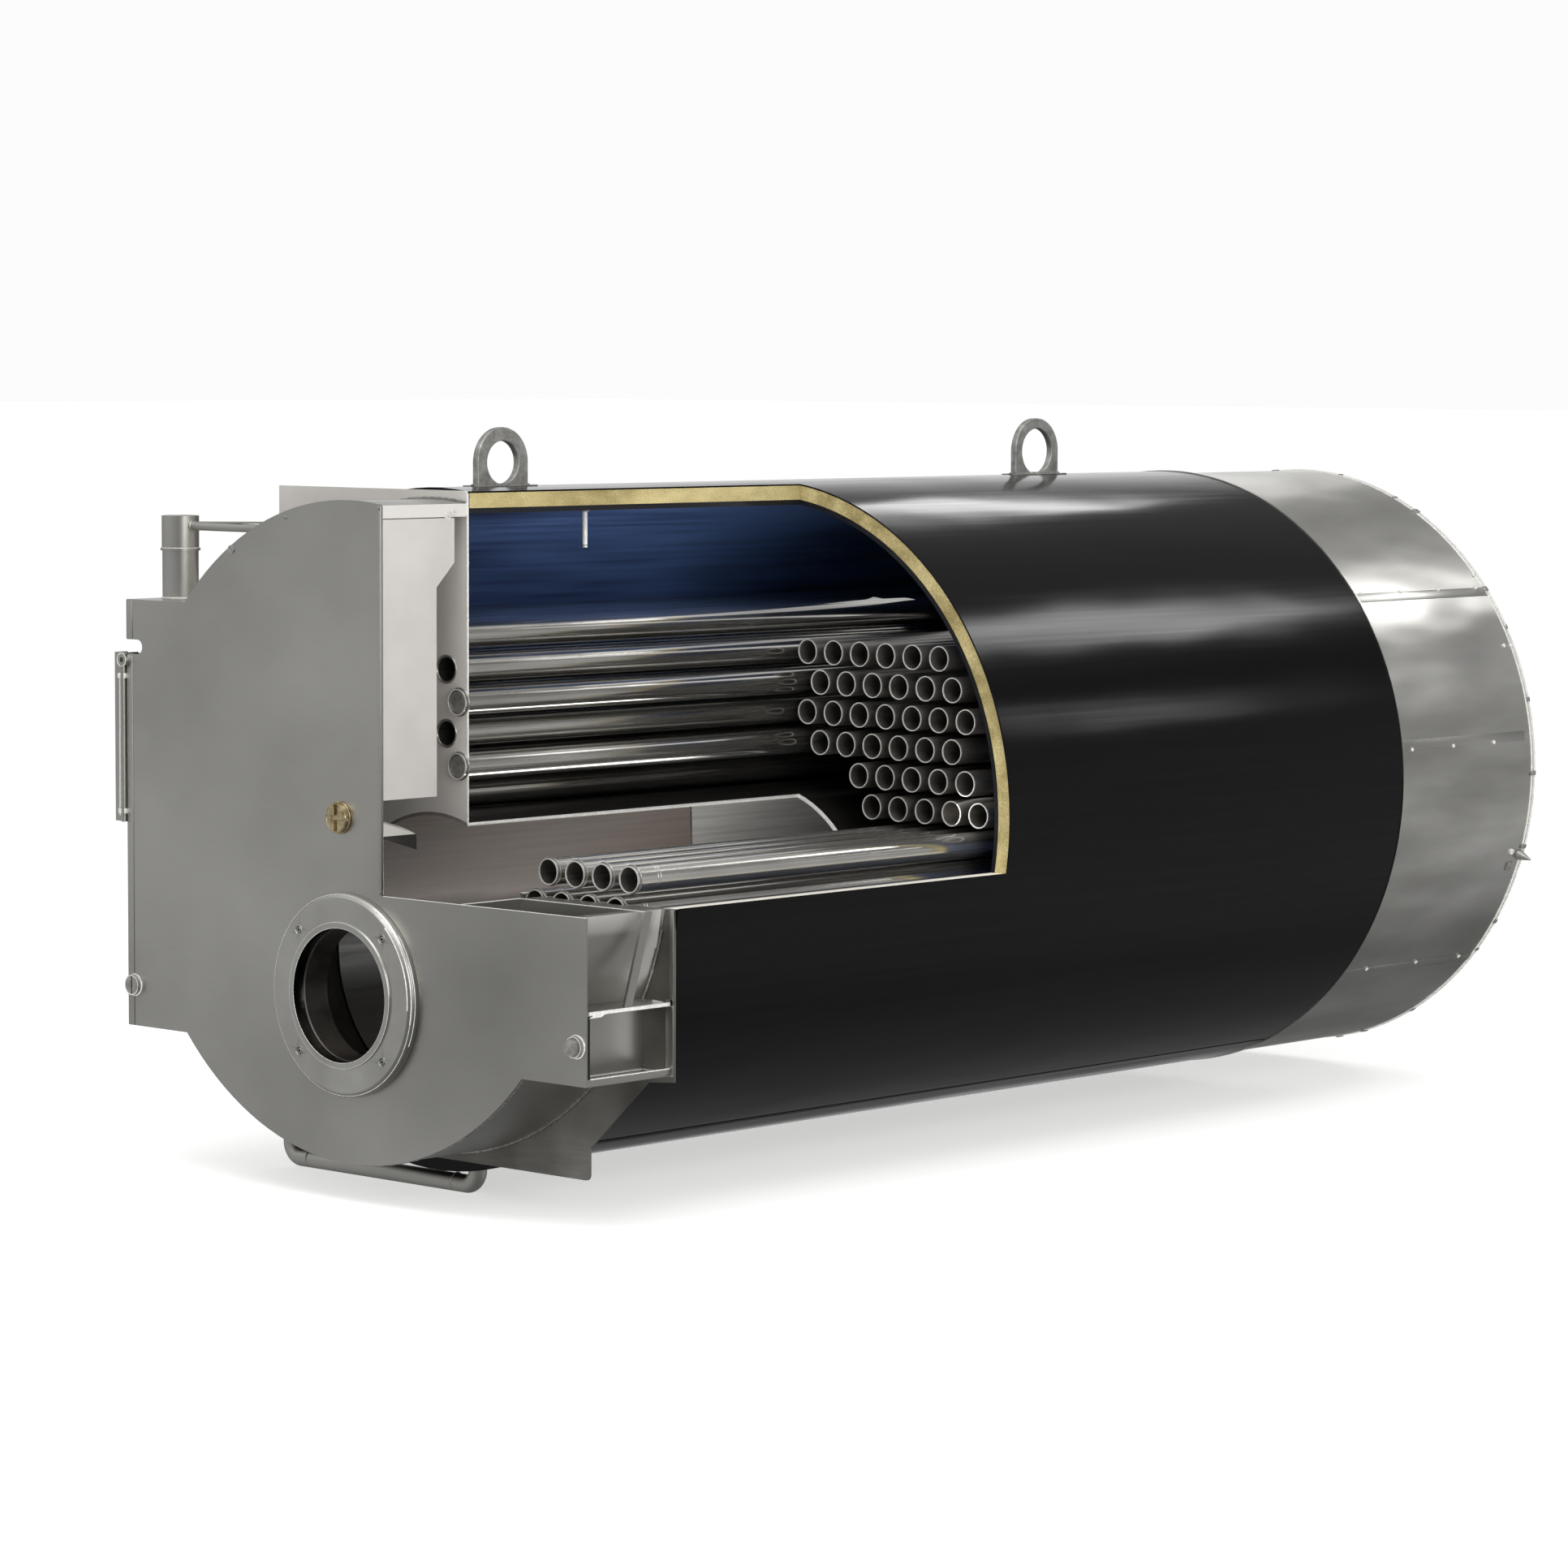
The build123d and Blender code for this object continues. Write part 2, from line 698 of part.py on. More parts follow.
nodes = dict(
    front_plate=front_plate, smokebox_drum=smokebox_drum, left_box_wall=left_box_wall,
    left_box_top=left_box_top, left_box_bottom=left_box_bottom,
    right_box_floor=right_box_floor, right_box_shelf=right_box_shelf,
    right_box_panel=right_box_panel, right_box_strut=right_box_strut, pocket_sheet=pocket_sheet,
    burner_flange=burner_flange, burner_sleeve=burner_sleeve, throat_ring=throat_ring,
    door_lining=door_lining, front_tube_plate=front_tube_plate,
    rear_tube_plate=rear_tube_plate, left_tubes=left_tubes, front_tubes=front_tubes,
    right_tubes=right_tubes, lower_right_tubes=lower_right_tubes, furnace_tube=furnace_tube,
    outer_cladding=outer_cladding, insulation=insulation, pressure_shell=pressure_shell,
    lifting_lug_front=lifting_lug_front, lifting_lug_rear=lifting_lug_rear,
    thermowell=thermowell, boundary_trim=boundary_trim, rear_cladding=rear_cladding,
    rear_end_plate=rear_end_plate, flue_collar=flue_collar, cleanout_cover=cleanout_cover,
    rear_clamp=rear_clamp, vent_pipe=vent_pipe, vent_sleeve=vent_sleeve, vent_rod=vent_rod,
    hinge_channel=hinge_channel, hinge_pin=hinge_pin, sight_knob=sight_knob,
    left_latch=left_latch, right_button=right_button, drain_loop=drain_loop)

os.makedirs("parts", exist_ok=True)
for name, piece in nodes.items():
    piece.part.label = name
    export_step(piece.part, f"parts/{name}.step")
    print(name, round(piece.part.volume / 1e6, 3), "litres", len(piece.part.solids()))
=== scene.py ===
import json
from functools import partial
from math import atan2, cos, degrees, pi, radians, sin, sqrt
from random import Random

import bmesh
import bpy
from mathutils import Matrix, Vector


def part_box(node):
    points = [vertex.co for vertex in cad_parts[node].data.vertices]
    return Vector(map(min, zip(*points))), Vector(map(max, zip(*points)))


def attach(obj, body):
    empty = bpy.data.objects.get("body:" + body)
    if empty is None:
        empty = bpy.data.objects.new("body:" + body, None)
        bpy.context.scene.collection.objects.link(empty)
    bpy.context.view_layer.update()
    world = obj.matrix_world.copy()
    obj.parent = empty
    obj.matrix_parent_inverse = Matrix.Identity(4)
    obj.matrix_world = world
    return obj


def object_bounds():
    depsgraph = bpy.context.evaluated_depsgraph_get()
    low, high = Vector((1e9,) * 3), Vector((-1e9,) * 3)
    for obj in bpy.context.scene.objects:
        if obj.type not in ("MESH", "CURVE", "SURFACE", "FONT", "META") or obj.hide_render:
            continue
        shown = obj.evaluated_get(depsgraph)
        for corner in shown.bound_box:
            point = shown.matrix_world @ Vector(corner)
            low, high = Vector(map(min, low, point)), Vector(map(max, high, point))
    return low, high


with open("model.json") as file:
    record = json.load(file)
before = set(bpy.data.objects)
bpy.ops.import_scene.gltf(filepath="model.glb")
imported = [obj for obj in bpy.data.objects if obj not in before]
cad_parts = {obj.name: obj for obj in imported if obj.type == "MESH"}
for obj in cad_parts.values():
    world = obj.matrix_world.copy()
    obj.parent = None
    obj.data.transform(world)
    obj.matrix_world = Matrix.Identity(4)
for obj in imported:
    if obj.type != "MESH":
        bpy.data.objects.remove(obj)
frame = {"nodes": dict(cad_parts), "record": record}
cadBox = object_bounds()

# Cut-away fire-tube boiler, in metres: X right seen from the front, Y to the rear, Z up.
body = "root"
nodes = frame["nodes"]
cladLow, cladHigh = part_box("outer_cladding")
shellRadius = (cladHigh.x - cladLow.x) / 2
axisZ = (cladHigh.z + cladLow.z) / 2
shellFront, blackEnd = cladLow.y, cladHigh.y
rearLow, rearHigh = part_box("rear_cladding")
rearRadius, rearEnd = (rearHigh.x - rearLow.x) / 2, rearHigh.y
plateLow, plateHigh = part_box("front_plate")
sheetLow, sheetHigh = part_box("front_tube_plate")
tubePlateY = sheetLow.y
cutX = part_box("door_lining")[1].x            # the upright cut face
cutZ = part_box("pocket_sheet")[1].z           # the level cut face
tubeProud = 0.008                            # how far the shortened tubes stand out
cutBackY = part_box("right_tubes")[0].y - tubeProud    # where the open quarter ends
furnaceLow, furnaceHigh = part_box("furnace_tube")
furnaceRadius = (furnaceHigh.x - furnaceLow.x) / 2
furnaceZ = furnaceLow.z + furnaceRadius


def linearColor(hexColor):
    channels = [int(hexColor[i:i + 2], 16) / 255 for i in (1, 3, 5)]
    return [c / 12.92 if c <= 0.04045 else ((c + 0.055) / 1.055) ** 2.4 for c in channels] + [1.0]


def addNode(tree, kind, inputs=(), **settings):
    # inputs go by socket name or number, or in order. Each is a value, a hex colour, a socket,
    # or a node, whose first live output is linked
    node = tree.nodes.new("ShaderNode" + kind)
    for key, value in settings.items():
        setattr(node, key, value)
    for key, value in inputs.items() if isinstance(inputs, dict) else enumerate(inputs):
        if isinstance(value, bpy.types.Node):
            value = next(socket for socket in value.outputs if socket.enabled)
        if isinstance(value, bpy.types.NodeSocket):
            tree.links.new(value, node.inputs[key])
        else:
            node.inputs[key].default_value = linearColor(value) if isinstance(value, str) else value
    return node


def startMaterial(name):
    material = bpy.data.materials.new(name)
    material.use_nodes = True
    material.node_tree.nodes.clear()
    add = partial(addNode, material.node_tree)
    return material, add, add("TexCoord").outputs["Object"]


def endMaterial(material, add, inputs):
    add("OutputMaterial", {"Surface": add("BsdfPrincipled", inputs)})
    return material


def perMetre(*sizes):
    # how often a pattern of these sizes in millimetres repeats in a metre
    return [1000 / size for size in sizes]


calm = {"Scale": 1.0, "Detail": 3.0}          # noise that the Mapping node has sized
print("helpers ready")

# Materials
groundSheet = {
    "light": "#cbcac5", "dark": "#b5b4af", "grain": (60, 60, 1.2), "cloud": (520, 520, 420),
    "roughness": (0.32, 0.44), "bump": 0.00002, "shadeSpot": (0.36, 0.0, 0.03), "shadeTone": "#74736e",
    "litCutFace": "#dad7d2",
}


def groundStainless(name="groundStainless", paleLitCut=False):
    # 304 sheet ground with a belt: fine level scratches, drawn coarser than real so that they
    # show, under broad faint clouds left by wiping, with painted shade low on the right of the
    # burner
    s = groundSheet
    material, add, coords = startMaterial(name)
    wiped = add("Mapping", {"Vector": coords, "Scale": perMetre(*s["cloud"])})
    cloud = add("TexNoise", {"Vector": wiped, **calm})
    belted = add("Mapping", {"Vector": coords, "Scale": perMetre(*s["grain"])})
    grain = add("TexNoise", {"Vector": belted, "Scale": 1.0, "Detail": 4.0, "Roughness": 0.7})
    tone = add("Math", (cloud, add("MapRange", (grain, 0.3, 0.7, -0.05, 0.05))))
    color = add("Mix", {0: add("MapRange", (tone, 0.32, 0.68)), 6: s["light"], 7: s["dark"]},
                data_type="RGBA")
    # painted shade: the plate darkens towards a spot low on the right of the burner
    shadeDistance = add("VectorMath", (coords, s["shadeSpot"]), operation="DISTANCE")
    color = add("Mix", {0: add("MapRange", (shadeDistance, 0.05, 0.42, 0.45, 0.0)), 6: color, 7: s["shadeTone"]},
                data_type="RGBA")
    metal = 1.0
    if paleLitCut:
        # the cut wall of the smokebox gets a pale matt face: bare sawn metal, lightened further as
        # painted light from the right
        normal = add("NewGeometry").outputs["Normal"]
        sideways = add("VectorMath", (normal, (1, 0, 0)), operation="DOT_PRODUCT")
        litCutFace = add("MapRange", (sideways, 0.97, 0.99))
        color = add("Mix", {0: litCutFace, 6: color, 7: s["litCutFace"]}, data_type="RGBA")
        metal = add("MapRange", (litCutFace, 0.0, 1.0, 1.0, 0.1))
    return endMaterial(material, add, {
        "Base Color": color, "Metallic": metal,
        "Roughness": add("MapRange", (tone, 0.25, 0.75, *s["roughness"])),
        "Normal": add("Bump", {"Height": grain, "Distance": s["bump"]})})


flangeTurning = {"ring": 1.6, "light": "#cfcec9", "dark": "#b4b3ae", "boreShade": "#2c2b28",
                 "cloud": 150, "bore": (0.1262, 0.1268)}


def turnedFlange():
    # stainless flange faced on a lathe: fine rings round the bore, whose wall is painted near black
    # as the shade inside the bore
    s = flangeTurning
    material, add, coords = startMaterial("turnedFlange")
    flat = add("Mapping", {"Vector": coords, "Scale": (1, 0, 1)})
    distance = add("VectorMath", (flat,), operation="LENGTH")
    rings = add("TexNoise", {"W": distance, "Scale": 1000 / s["ring"], "Detail": 2.0},
                noise_dimensions="1D")
    cloud = add("TexNoise", {"Vector": coords, "Scale": 1000 / s["cloud"], "Detail": 3.0})
    tone = add("Math", (cloud, add("MapRange", (rings, 0.3, 0.7, -0.06, 0.06))))
    color = add("Mix", {0: add("MapRange", (tone, 0.3, 0.7)), 6: s["light"], 7: s["dark"]},
                data_type="RGBA")
    # painted shade: the bore wall inside the flange is near black
    bore = add("MapRange", (distance, *s["bore"], 1.0, 0.0))
    color = add("Mix", {0: bore, 6: color, 7: s["boreShade"]}, data_type="RGBA")
    return endMaterial(material, add, {
        "Base Color": color, "Metallic": 1.0,
        "Roughness": add("MapRange", (tone, 0.25, 0.75, 0.24, 0.36)),
        "Normal": add("Bump", {"Height": rings, "Distance": 0.00003})})


hotScale = {"patch": (40, 60, 40), "blue": "#24231f", "brown": "#3a3631",
            "roughness": (0.3, 0.5)}


def scaleAndShadeSteel():
    # steel that has been red hot: dull blue-black scale with brown patches, kept near black as
    # painted shade inside the bore
    s = hotScale
    material, add, coords = startMaterial("scaleAndShadeSteel")
    placed = add("Mapping", {"Vector": coords, "Scale": perMetre(*s["patch"])})
    patch = add("TexNoise", {"Vector": placed, "Scale": 1.0, "Detail": 5.0, "Roughness": 0.6})
    color = add("Mix", {0: add("MapRange", (patch, 0.35, 0.65)), 6: s["blue"], 7: s["brown"]},
                data_type="RGBA")
    return endMaterial(material, add, {
        "Base Color": color, "Metallic": 0.6,
        "Roughness": add("MapRange", (patch, 0.3, 0.7, *s["roughness"])),
        "Normal": add("Bump", {"Height": patch, "Distance": 0.0003})})


rearSheet = {
    "light": "#dad9d5", "dark": "#b3b2ad", "dent": (300, 640, 260), "smear": (420, 560, 130),
    "grain": (5, 120, 5), "roughness": (0.28, 0.42), "dentDepth": 0.05,
}


def rolledStainless():
    # bright rolled stainless jacket: thin sheet in long shallow dents that break its highlights
    s = rearSheet
    material, add, coords = startMaterial("rolledStainless")
    dented = add("Mapping", {"Vector": coords, "Scale": perMetre(*s["dent"])})
    dents = add("TexNoise", {"Vector": dented, "Scale": 1.0, "Detail": 2.0})
    rolled = add("Mapping", {"Vector": coords, "Scale": perMetre(*s["grain"])})
    grain = add("TexNoise", {"Vector": rolled, **calm})
    smeared = add("Mapping", {"Vector": coords, "Scale": perMetre(*s["smear"])})
    smear = add("TexNoise", {"Vector": smeared, "Scale": 1.0, "Detail": 4.0})
    color = add("Mix", {0: add("MapRange", (smear, 0.33, 0.67)), 6: s["light"], 7: s["dark"]},
                data_type="RGBA")
    fine = add("Bump", {"Height": grain, "Distance": 0.00004})
    return endMaterial(material, add, {
        "Base Color": color, "Metallic": 1.0,
        "Roughness": add("MapRange", (smear, 0.25, 0.75, *s["roughness"])),
        "Normal": add("Bump", {"Height": dents, "Distance": s["dentDepth"], "Strength": 0.5,
                               "Normal": fine})})


blackSheet = {
    "light": "#0a0a0a", "dark": "#050505", "wave": (330, 900, 330), "streak": (9, 700, 9),
    "roughness": (0.13, 0.20), "waveDepth": 0.020,
}


def stovedBlack():
    # satin black enamel stoved on thin sheet: long soft highlights that waver along the sheet
    s = blackSheet
    material, add, coords = startMaterial("stovedBlack")
    waved = add("Mapping", {"Vector": coords, "Scale": perMetre(*s["wave"])})
    waves = add("TexNoise", {"Vector": waved, "Scale": 1.0, "Detail": 2.0})
    streaked = add("Mapping", {"Vector": coords, "Scale": perMetre(*s["streak"])})
    streak = add("TexNoise", {"Vector": streaked, **calm})
    color = add("Mix", {0: add("MapRange", (streak, 0.3, 0.7)), 6: s["light"], 7: s["dark"]},
                data_type="RGBA")
    fine = add("Bump", {"Height": streak, "Distance": 0.00003})
    return endMaterial(material, add, {
        "Base Color": color, "Metallic": 0.0, "IOR": 1.25,
        "Roughness": add("MapRange", (streak, 0.25, 0.75, *s["roughness"])),
        "Normal": add("Bump", {"Height": waves, "Distance": s["waveDepth"], "Strength": 0.4,
                               "Normal": fine})})


woolBatt = {"fibre": 3, "layer": (60, 140, 60), "light": "#d8c892", "dark": "#8f7f4e",
            "litTop": "#eeeadf", "fibreDepth": 0.0012}


def mineralWool():
    # pressed mineral wool sawn through: matt and fibrous, darker where the layers part, and
    # pale on the upward level cut as painted light from above
    s = woolBatt
    material, add, coords = startMaterial("mineralWool")
    fibre = add("TexNoise", {"Vector": coords, "Scale": 1000 / s["fibre"], "Detail": 5.0,
                             "Roughness": 0.75})
    layered = add("Mapping", {"Vector": coords, "Scale": perMetre(*s["layer"])})
    layer = add("TexNoise", {"Vector": layered, **calm})
    tone = add("Math", (fibre, layer), operation="MULTIPLY")
    color = add("Mix", {0: add("MapRange", (tone, 0.14, 0.36)), 6: s["dark"], 7: s["light"]},
                data_type="RGBA")
    # painted light: faces that look upwards are pale
    normal = add("NewGeometry").outputs["Normal"]
    upwards = add("VectorMath", (normal, (0, 0, 1)), operation="DOT_PRODUCT")
    level = add("MapRange", (upwards, 0.93, 0.98))
    return endMaterial(material, add, {
        "Base Color": add("Mix", {0: level, 6: color, 7: s["litTop"]}, data_type="RGBA"),
        "Metallic": 0.0, "Roughness": 0.95,
        "Normal": add("Bump", {"Height": fibre, "Distance": s["fibreDepth"], "Strength": 0.7})})


enamelCoat = {"brush": (16, 500, 16), "coat": (420, 900, 170), "light": "#6484c0",
              "dark": "#1d2244", "sawn": "#121318", "level": "#dcd8cc"}


def blueEnamel():
    # navy heat-proof enamel brushed along the shell in uneven coats; sawn edges are dark, but
    # pale on the level cut as painted light from above
    s = enamelCoat
    material, add, coords = startMaterial("blueEnamel")
    brushed = add("Mapping", {"Vector": coords, "Scale": perMetre(*s["brush"])})
    brush = add("TexNoise", {"Vector": brushed, "Scale": 1.0, "Detail": 4.0})
    coated = add("Mapping", {"Vector": coords, "Scale": perMetre(*s["coat"])})
    coat = add("TexNoise", {"Vector": coated, "Scale": 1.0, "Detail": 2.0})
    tone = add("Math", (add("MapRange", (brush, 0.3, 0.7, 0.8, 1.1)), coat), operation="MULTIPLY")
    paint = add("Mix", {0: add("MapRange", (tone, 0.26, 0.66)), 6: s["dark"], 7: s["light"]},
                data_type="RGBA")
    # a face is sawn where it doesn't look towards or away from the boiler's axis
    normal = add("NewGeometry").outputs["Normal"]
    flat = add("Mapping", {"Vector": coords, "Location": (0, 0, -axisZ), "Scale": (1, 0, 1)})
    outward = add("VectorMath", (flat,), operation="NORMALIZE")
    square = add("VectorMath", (outward, normal), operation="DOT_PRODUCT")
    sawn = add("MapRange", (add("Math", (square,), operation="ABSOLUTE"), 0.6, 0.5))
    # painted light: sawn faces that look upwards are pale
    upwards = add("VectorMath", (normal, (0, 0, 1)), operation="DOT_PRODUCT")
    level = add("Math", (sawn, add("MapRange", (upwards, 0.9, 0.95))), operation="MULTIPLY")
    color = add("Mix", {0: sawn, 6: paint, 7: s["sawn"]}, data_type="RGBA")
    return endMaterial(material, add, {
        "Base Color": add("Mix", {0: level, 6: color, 7: s["level"]}, data_type="RGBA"),
        "IOR": 1.45, "Roughness": add("MapRange", (brush, 0.2, 0.8, 0.38, 0.6)),
        "Normal": add("Bump", {"Height": brush, "Distance": 0.0002, "Strength": 0.6})})


tubeSkin = {"light": "#dad8d3", "dark": "#b4b1ab", "line": (5, 4000, 5), "stain": (60, 420, 60),
            "roughness": (0.13, 0.21)}


def drawnTube(name="drawnTube", metal=0.97):
    # seamless tube, cold drawn and bright: straight drawing lines and faint long stains
    s = tubeSkin
    material, add, coords = startMaterial(name)
    drawn = add("Mapping", {"Vector": coords, "Scale": perMetre(*s["line"])})
    lines = add("TexNoise", {"Vector": drawn, **calm})
    stained = add("Mapping", {"Vector": coords, "Scale": perMetre(*s["stain"])})
    stain = add("TexNoise", {"Vector": stained, **calm})
    tone = add("Math", (lines, stain), operation="MULTIPLY")
    color = add("Mix", {0: add("MapRange", (tone, 0.14, 0.34)), 6: s["dark"], 7: s["light"]},
                data_type="RGBA")
    return endMaterial(material, add, {
        "Base Color": color, "Metallic": metal,
        "Roughness": add("MapRange", (stain, 0.3, 0.7, *s["roughness"])),
        "Normal": add("Bump", {"Height": lines, "Distance": 0.00001})})


millScale = {"patch": (30, 160, 30), "grey": "#55534f", "rust": "#75716b",
             "roughness": (0.34, 0.5)}


def scaledTube():
    # the shortened tubes keep their dull mill scale, grey and a little rusty
    s = millScale
    material, add, coords = startMaterial("scaledTube")
    placed = add("Mapping", {"Vector": coords, "Scale": perMetre(*s["patch"])})
    scale = add("TexNoise", {"Vector": placed, "Scale": 1.0, "Detail": 4.0, "Roughness": 0.6})
    color = add("Mix", {0: add("MapRange", (scale, 0.35, 0.65)), 6: s["grey"], 7: s["rust"]},
                data_type="RGBA")
    return endMaterial(material, add, {
        "Base Color": color, "Metallic": 0.55,
        "Roughness": add("MapRange", (scale, 0.3, 0.7, *s["roughness"])),
        "Normal": add("Bump", {"Height": scale, "Distance": 0.0001})})


plateSkin = {"cutter": (60, 60, 4), "patch": 290, "upper": ("#e6e2dd", "#d0ccc7"),
             "lower": ("#aeaca6", "#777570"), "roughness": (0.36, 0.48)}


def milledPlate():
    # mild steel tube plate, milled: satin with faint cutter lines, pale above the level cut as
    # painted light against the shade of the lining, and duller bare metal under the level cut
    s = plateSkin
    material, add, coords = startMaterial("milledPlate")
    milled = add("Mapping", {"Vector": coords, "Scale": perMetre(*s["cutter"])})
    cutter = add("TexNoise", {"Vector": milled, "Scale": 1.0, "Detail": 2.0})
    patch = add("TexNoise", {"Vector": coords, "Scale": 1000 / s["patch"], "Detail": 3.0})
    shade = add("MapRange", (patch, 0.35, 0.65))
    height = add("VectorMath", (coords, (0, 0, 1)), operation="DOT_PRODUCT")
    lower = add("MapRange", (height, cutZ - 0.002, cutZ + 0.002, 1.0, 0.0))
    # painted light: the plate above the level cut is made pale and less metallic
    wiped = add("Mix", {0: shade, 6: s["upper"][0], 7: s["upper"][1]}, data_type="RGBA")
    dull = add("Mix", {0: shade, 6: s["lower"][0], 7: s["lower"][1]}, data_type="RGBA")
    return endMaterial(material, add, {
        "Base Color": add("Mix", {0: lower, 6: wiped, 7: dull}, data_type="RGBA"),
        "Metallic": add("MapRange", (lower, 0.0, 1.0, 0.25, 1.0)),
        "Roughness": add("MapRange", (cutter, 0.3, 0.7, *s["roughness"])),
        "Normal": add("Bump", {"Height": cutter, "Distance": 0.00005})})


furnaceHeat = {"seamY": 0.918, "slant": 1.07, "straw": "#9e9690", "rose": "#a19188",
               "grey": "#e8e6e1", "smoke": "#6b6661", "scale": "#232220", "nearBlackShade": "#1b1917",
               "shadeTop": 0.125, "drift": (330, 900, 190), "grain": (14, 330, 14)}


def temperedSteel():
    # furnace plate after firing: straw and rose tempering colours in long drifts, a paler
    # course behind the seam that is painted light, painted shade nearly black low down, and black
    # scale outside
    s = furnaceHeat
    material, add, coords = startMaterial("temperedSteel")
    drifted = add("Mapping", {"Vector": coords, "Scale": perMetre(*s["drift"])})
    drift = add("TexNoise", {"Vector": drifted, **calm})
    rolled = add("Mapping", {"Vector": coords, "Scale": perMetre(*s["grain"])})
    grain = add("TexNoise", {"Vector": rolled, **calm})
    color = add("Mix", {0: add("MapRange", (drift, 0.42, 0.6)), 6: s["straw"], 7: s["rose"]},
                data_type="RGBA")
    # painted light: the course behind the slanting seam is much paler than the front one
    slanted = add("VectorMath", (coords, (s["slant"], 1, 0)), operation="DOT_PRODUCT")
    course = add("MapRange", (slanted, s["seamY"] - 0.001, s["seamY"] + 0.001))
    color = add("Mix", {0: course, 6: color, 7: s["grey"]}, data_type="RGBA")
    smoke = add("MapRange", (grain, 0.35, 0.7, 0.0, 0.35))
    color = add("Mix", {0: smoke, 6: color, 7: s["smoke"]}, data_type="RGBA")
    # painted shade: nearly black below the height of the bore, through which the furnace is seen
    height = add("VectorMath", (coords, (0, 0, 1)), operation="DOT_PRODUCT")
    ragged = add("Math", (height, add("MapRange", (drift, 0.3, 0.7, -0.015, 0.015))))
    nearBlackShade = add("MapRange", (ragged, s["shadeTop"], s["shadeTop"] - 0.03))
    color = add("Mix", {0: nearBlackShade, 6: color, 7: s["nearBlackShade"]}, data_type="RGBA")
    flat = add("Mapping", {"Vector": coords, "Location": (0, 0, -furnaceZ), "Scale": (1, 0, 1)})
    distance = add("VectorMath", (flat,), operation="LENGTH")
    outside = add("MapRange", (distance, furnaceRadius - 0.0008, furnaceRadius - 0.0004))
    return endMaterial(material, add, {
        "Base Color": add("Mix", {0: outside, 6: color, 7: s["scale"]}, data_type="RGBA"),
        "Metallic": 0.45, "Roughness": add("MapRange", (grain, 0.3, 0.7, 0.28, 0.42)),
        "Normal": add("Bump", {"Height": grain, "Distance": 0.0001})})


refractory = {"pore": 5, "patch": 200, "light": "#c9c5c1", "dark": "#bcb8b4", "worn": 70,
              "nearBlackShade": "#1a1816", "wornShade": "#35322e", "sawn": "#bfbbb6",
              "sawnFrom": (0.2634, 0.2642)}


def castLining():
    # vibration-cast refractory trowelled smooth: pale and dull with fine pores
    s = refractory
    material, add, coords = startMaterial("castLining")
    pores = add("TexNoise", {"Vector": coords, "Scale": 1000 / s["pore"], "Detail": 4.0,
                             "Roughness": 0.7})
    patch = add("TexNoise", {"Vector": coords, "Scale": 1000 / s["patch"], "Detail": 3.0})
    color = add("Mix", {0: add("MapRange", (patch, 0.35, 0.65)), 6: s["light"], 7: s["dark"]},
                data_type="RGBA")
    return endMaterial(material, add, {
        "Base Color": color, "Metallic": 0.0, "Roughness": 0.7,
        "Normal": add("Bump", {"Height": pores, "Distance": 0.0003, "Strength": 0.4})})


def shadedThroatLining():
    # refractory of the throat: nearly black inside as painted shade, with paler worn patches, clean
    # where it was sawn
    s = refractory
    material, add, coords = startMaterial("shadedThroatLining")
    worn = add("TexNoise", {"Vector": coords, "Scale": 1000 / s["worn"], "Detail": 4.0,
                            "Roughness": 0.6})
    shadedThroat = add("Mix", {0: add("MapRange", (worn, 0.4, 0.7)), 6: s["nearBlackShade"], 7: s["wornShade"]},
                 data_type="RGBA")
    flat = add("Mapping", {"Vector": coords, "Location": (0, 0, -furnaceZ), "Scale": (1, 0, 1)})
    distance = add("VectorMath", (flat,), operation="LENGTH")
    clean = add("MapRange", (distance, *s["sawnFrom"]))
    return endMaterial(material, add, {
        "Base Color": add("Mix", {0: clean, 6: shadedThroat, 7: s["sawn"]}, data_type="RGBA"),
        "Roughness": 0.8, "Normal": add("Bump", {"Height": worn, "Distance": 0.0006})})


fittingSkins = {
    "brass": {"size": 14, "light": "#e0d2ac", "dark": "#a08c68", "roughness": (0.2, 0.38)},
    "lug": {"size": 18, "light": "#bebdb9", "dark": "#93928e", "roughness": (0.32, 0.48)},
    "edge": {"size": 6, "light": "#f4f3ef", "dark": "#d2d0ca", "roughness": (0.16, 0.3)},
    "bead": {"size": 9, "light": "#b5b4b0", "dark": "#8b8a86", "roughness": (0.3, 0.46)},
    "shadowGap": {"size": 20, "light": "#161616", "dark": "#0b0b0b"},
}


def turnedBrass():
    # turned brass: pale gold with a little tarnish in its slots
    s = fittingSkins["brass"]
    material, add, coords = startMaterial("turnedBrass")
    tarnish = add("TexNoise", {"Vector": coords, "Scale": 1000 / s["size"], "Detail": 4.0})
    color = add("Mix", {0: add("MapRange", (tarnish, 0.35, 0.7)), 6: s["light"], 7: s["dark"]},
                data_type="RGBA")
    return endMaterial(material, add, {
        "Base Color": color, "Metallic": 1.0,
        "Roughness": add("MapRange", (tarnish, 0.3, 0.7, *s["roughness"]))})


def rolledLug():
    # hot rolled plate, blasted and waxed: satin grey with a fine mottle
    s = fittingSkins["lug"]
    material, add, coords = startMaterial("rolledLug")
    mottle = add("TexNoise", {"Vector": coords, "Scale": 1000 / s["size"], "Detail": 5.0,
                              "Roughness": 0.65})
    color = add("Mix", {0: add("MapRange", (mottle, 0.35, 0.65)), 6: s["light"], 7: s["dark"]},
                data_type="RGBA")
    return endMaterial(material, add, {
        "Base Color": color, "Metallic": 0.8,
        "Roughness": add("MapRange", (mottle, 0.3, 0.7, *s["roughness"])),
        "Normal": add("Bump", {"Height": mottle, "Distance": 0.0002, "Strength": 0.5})})


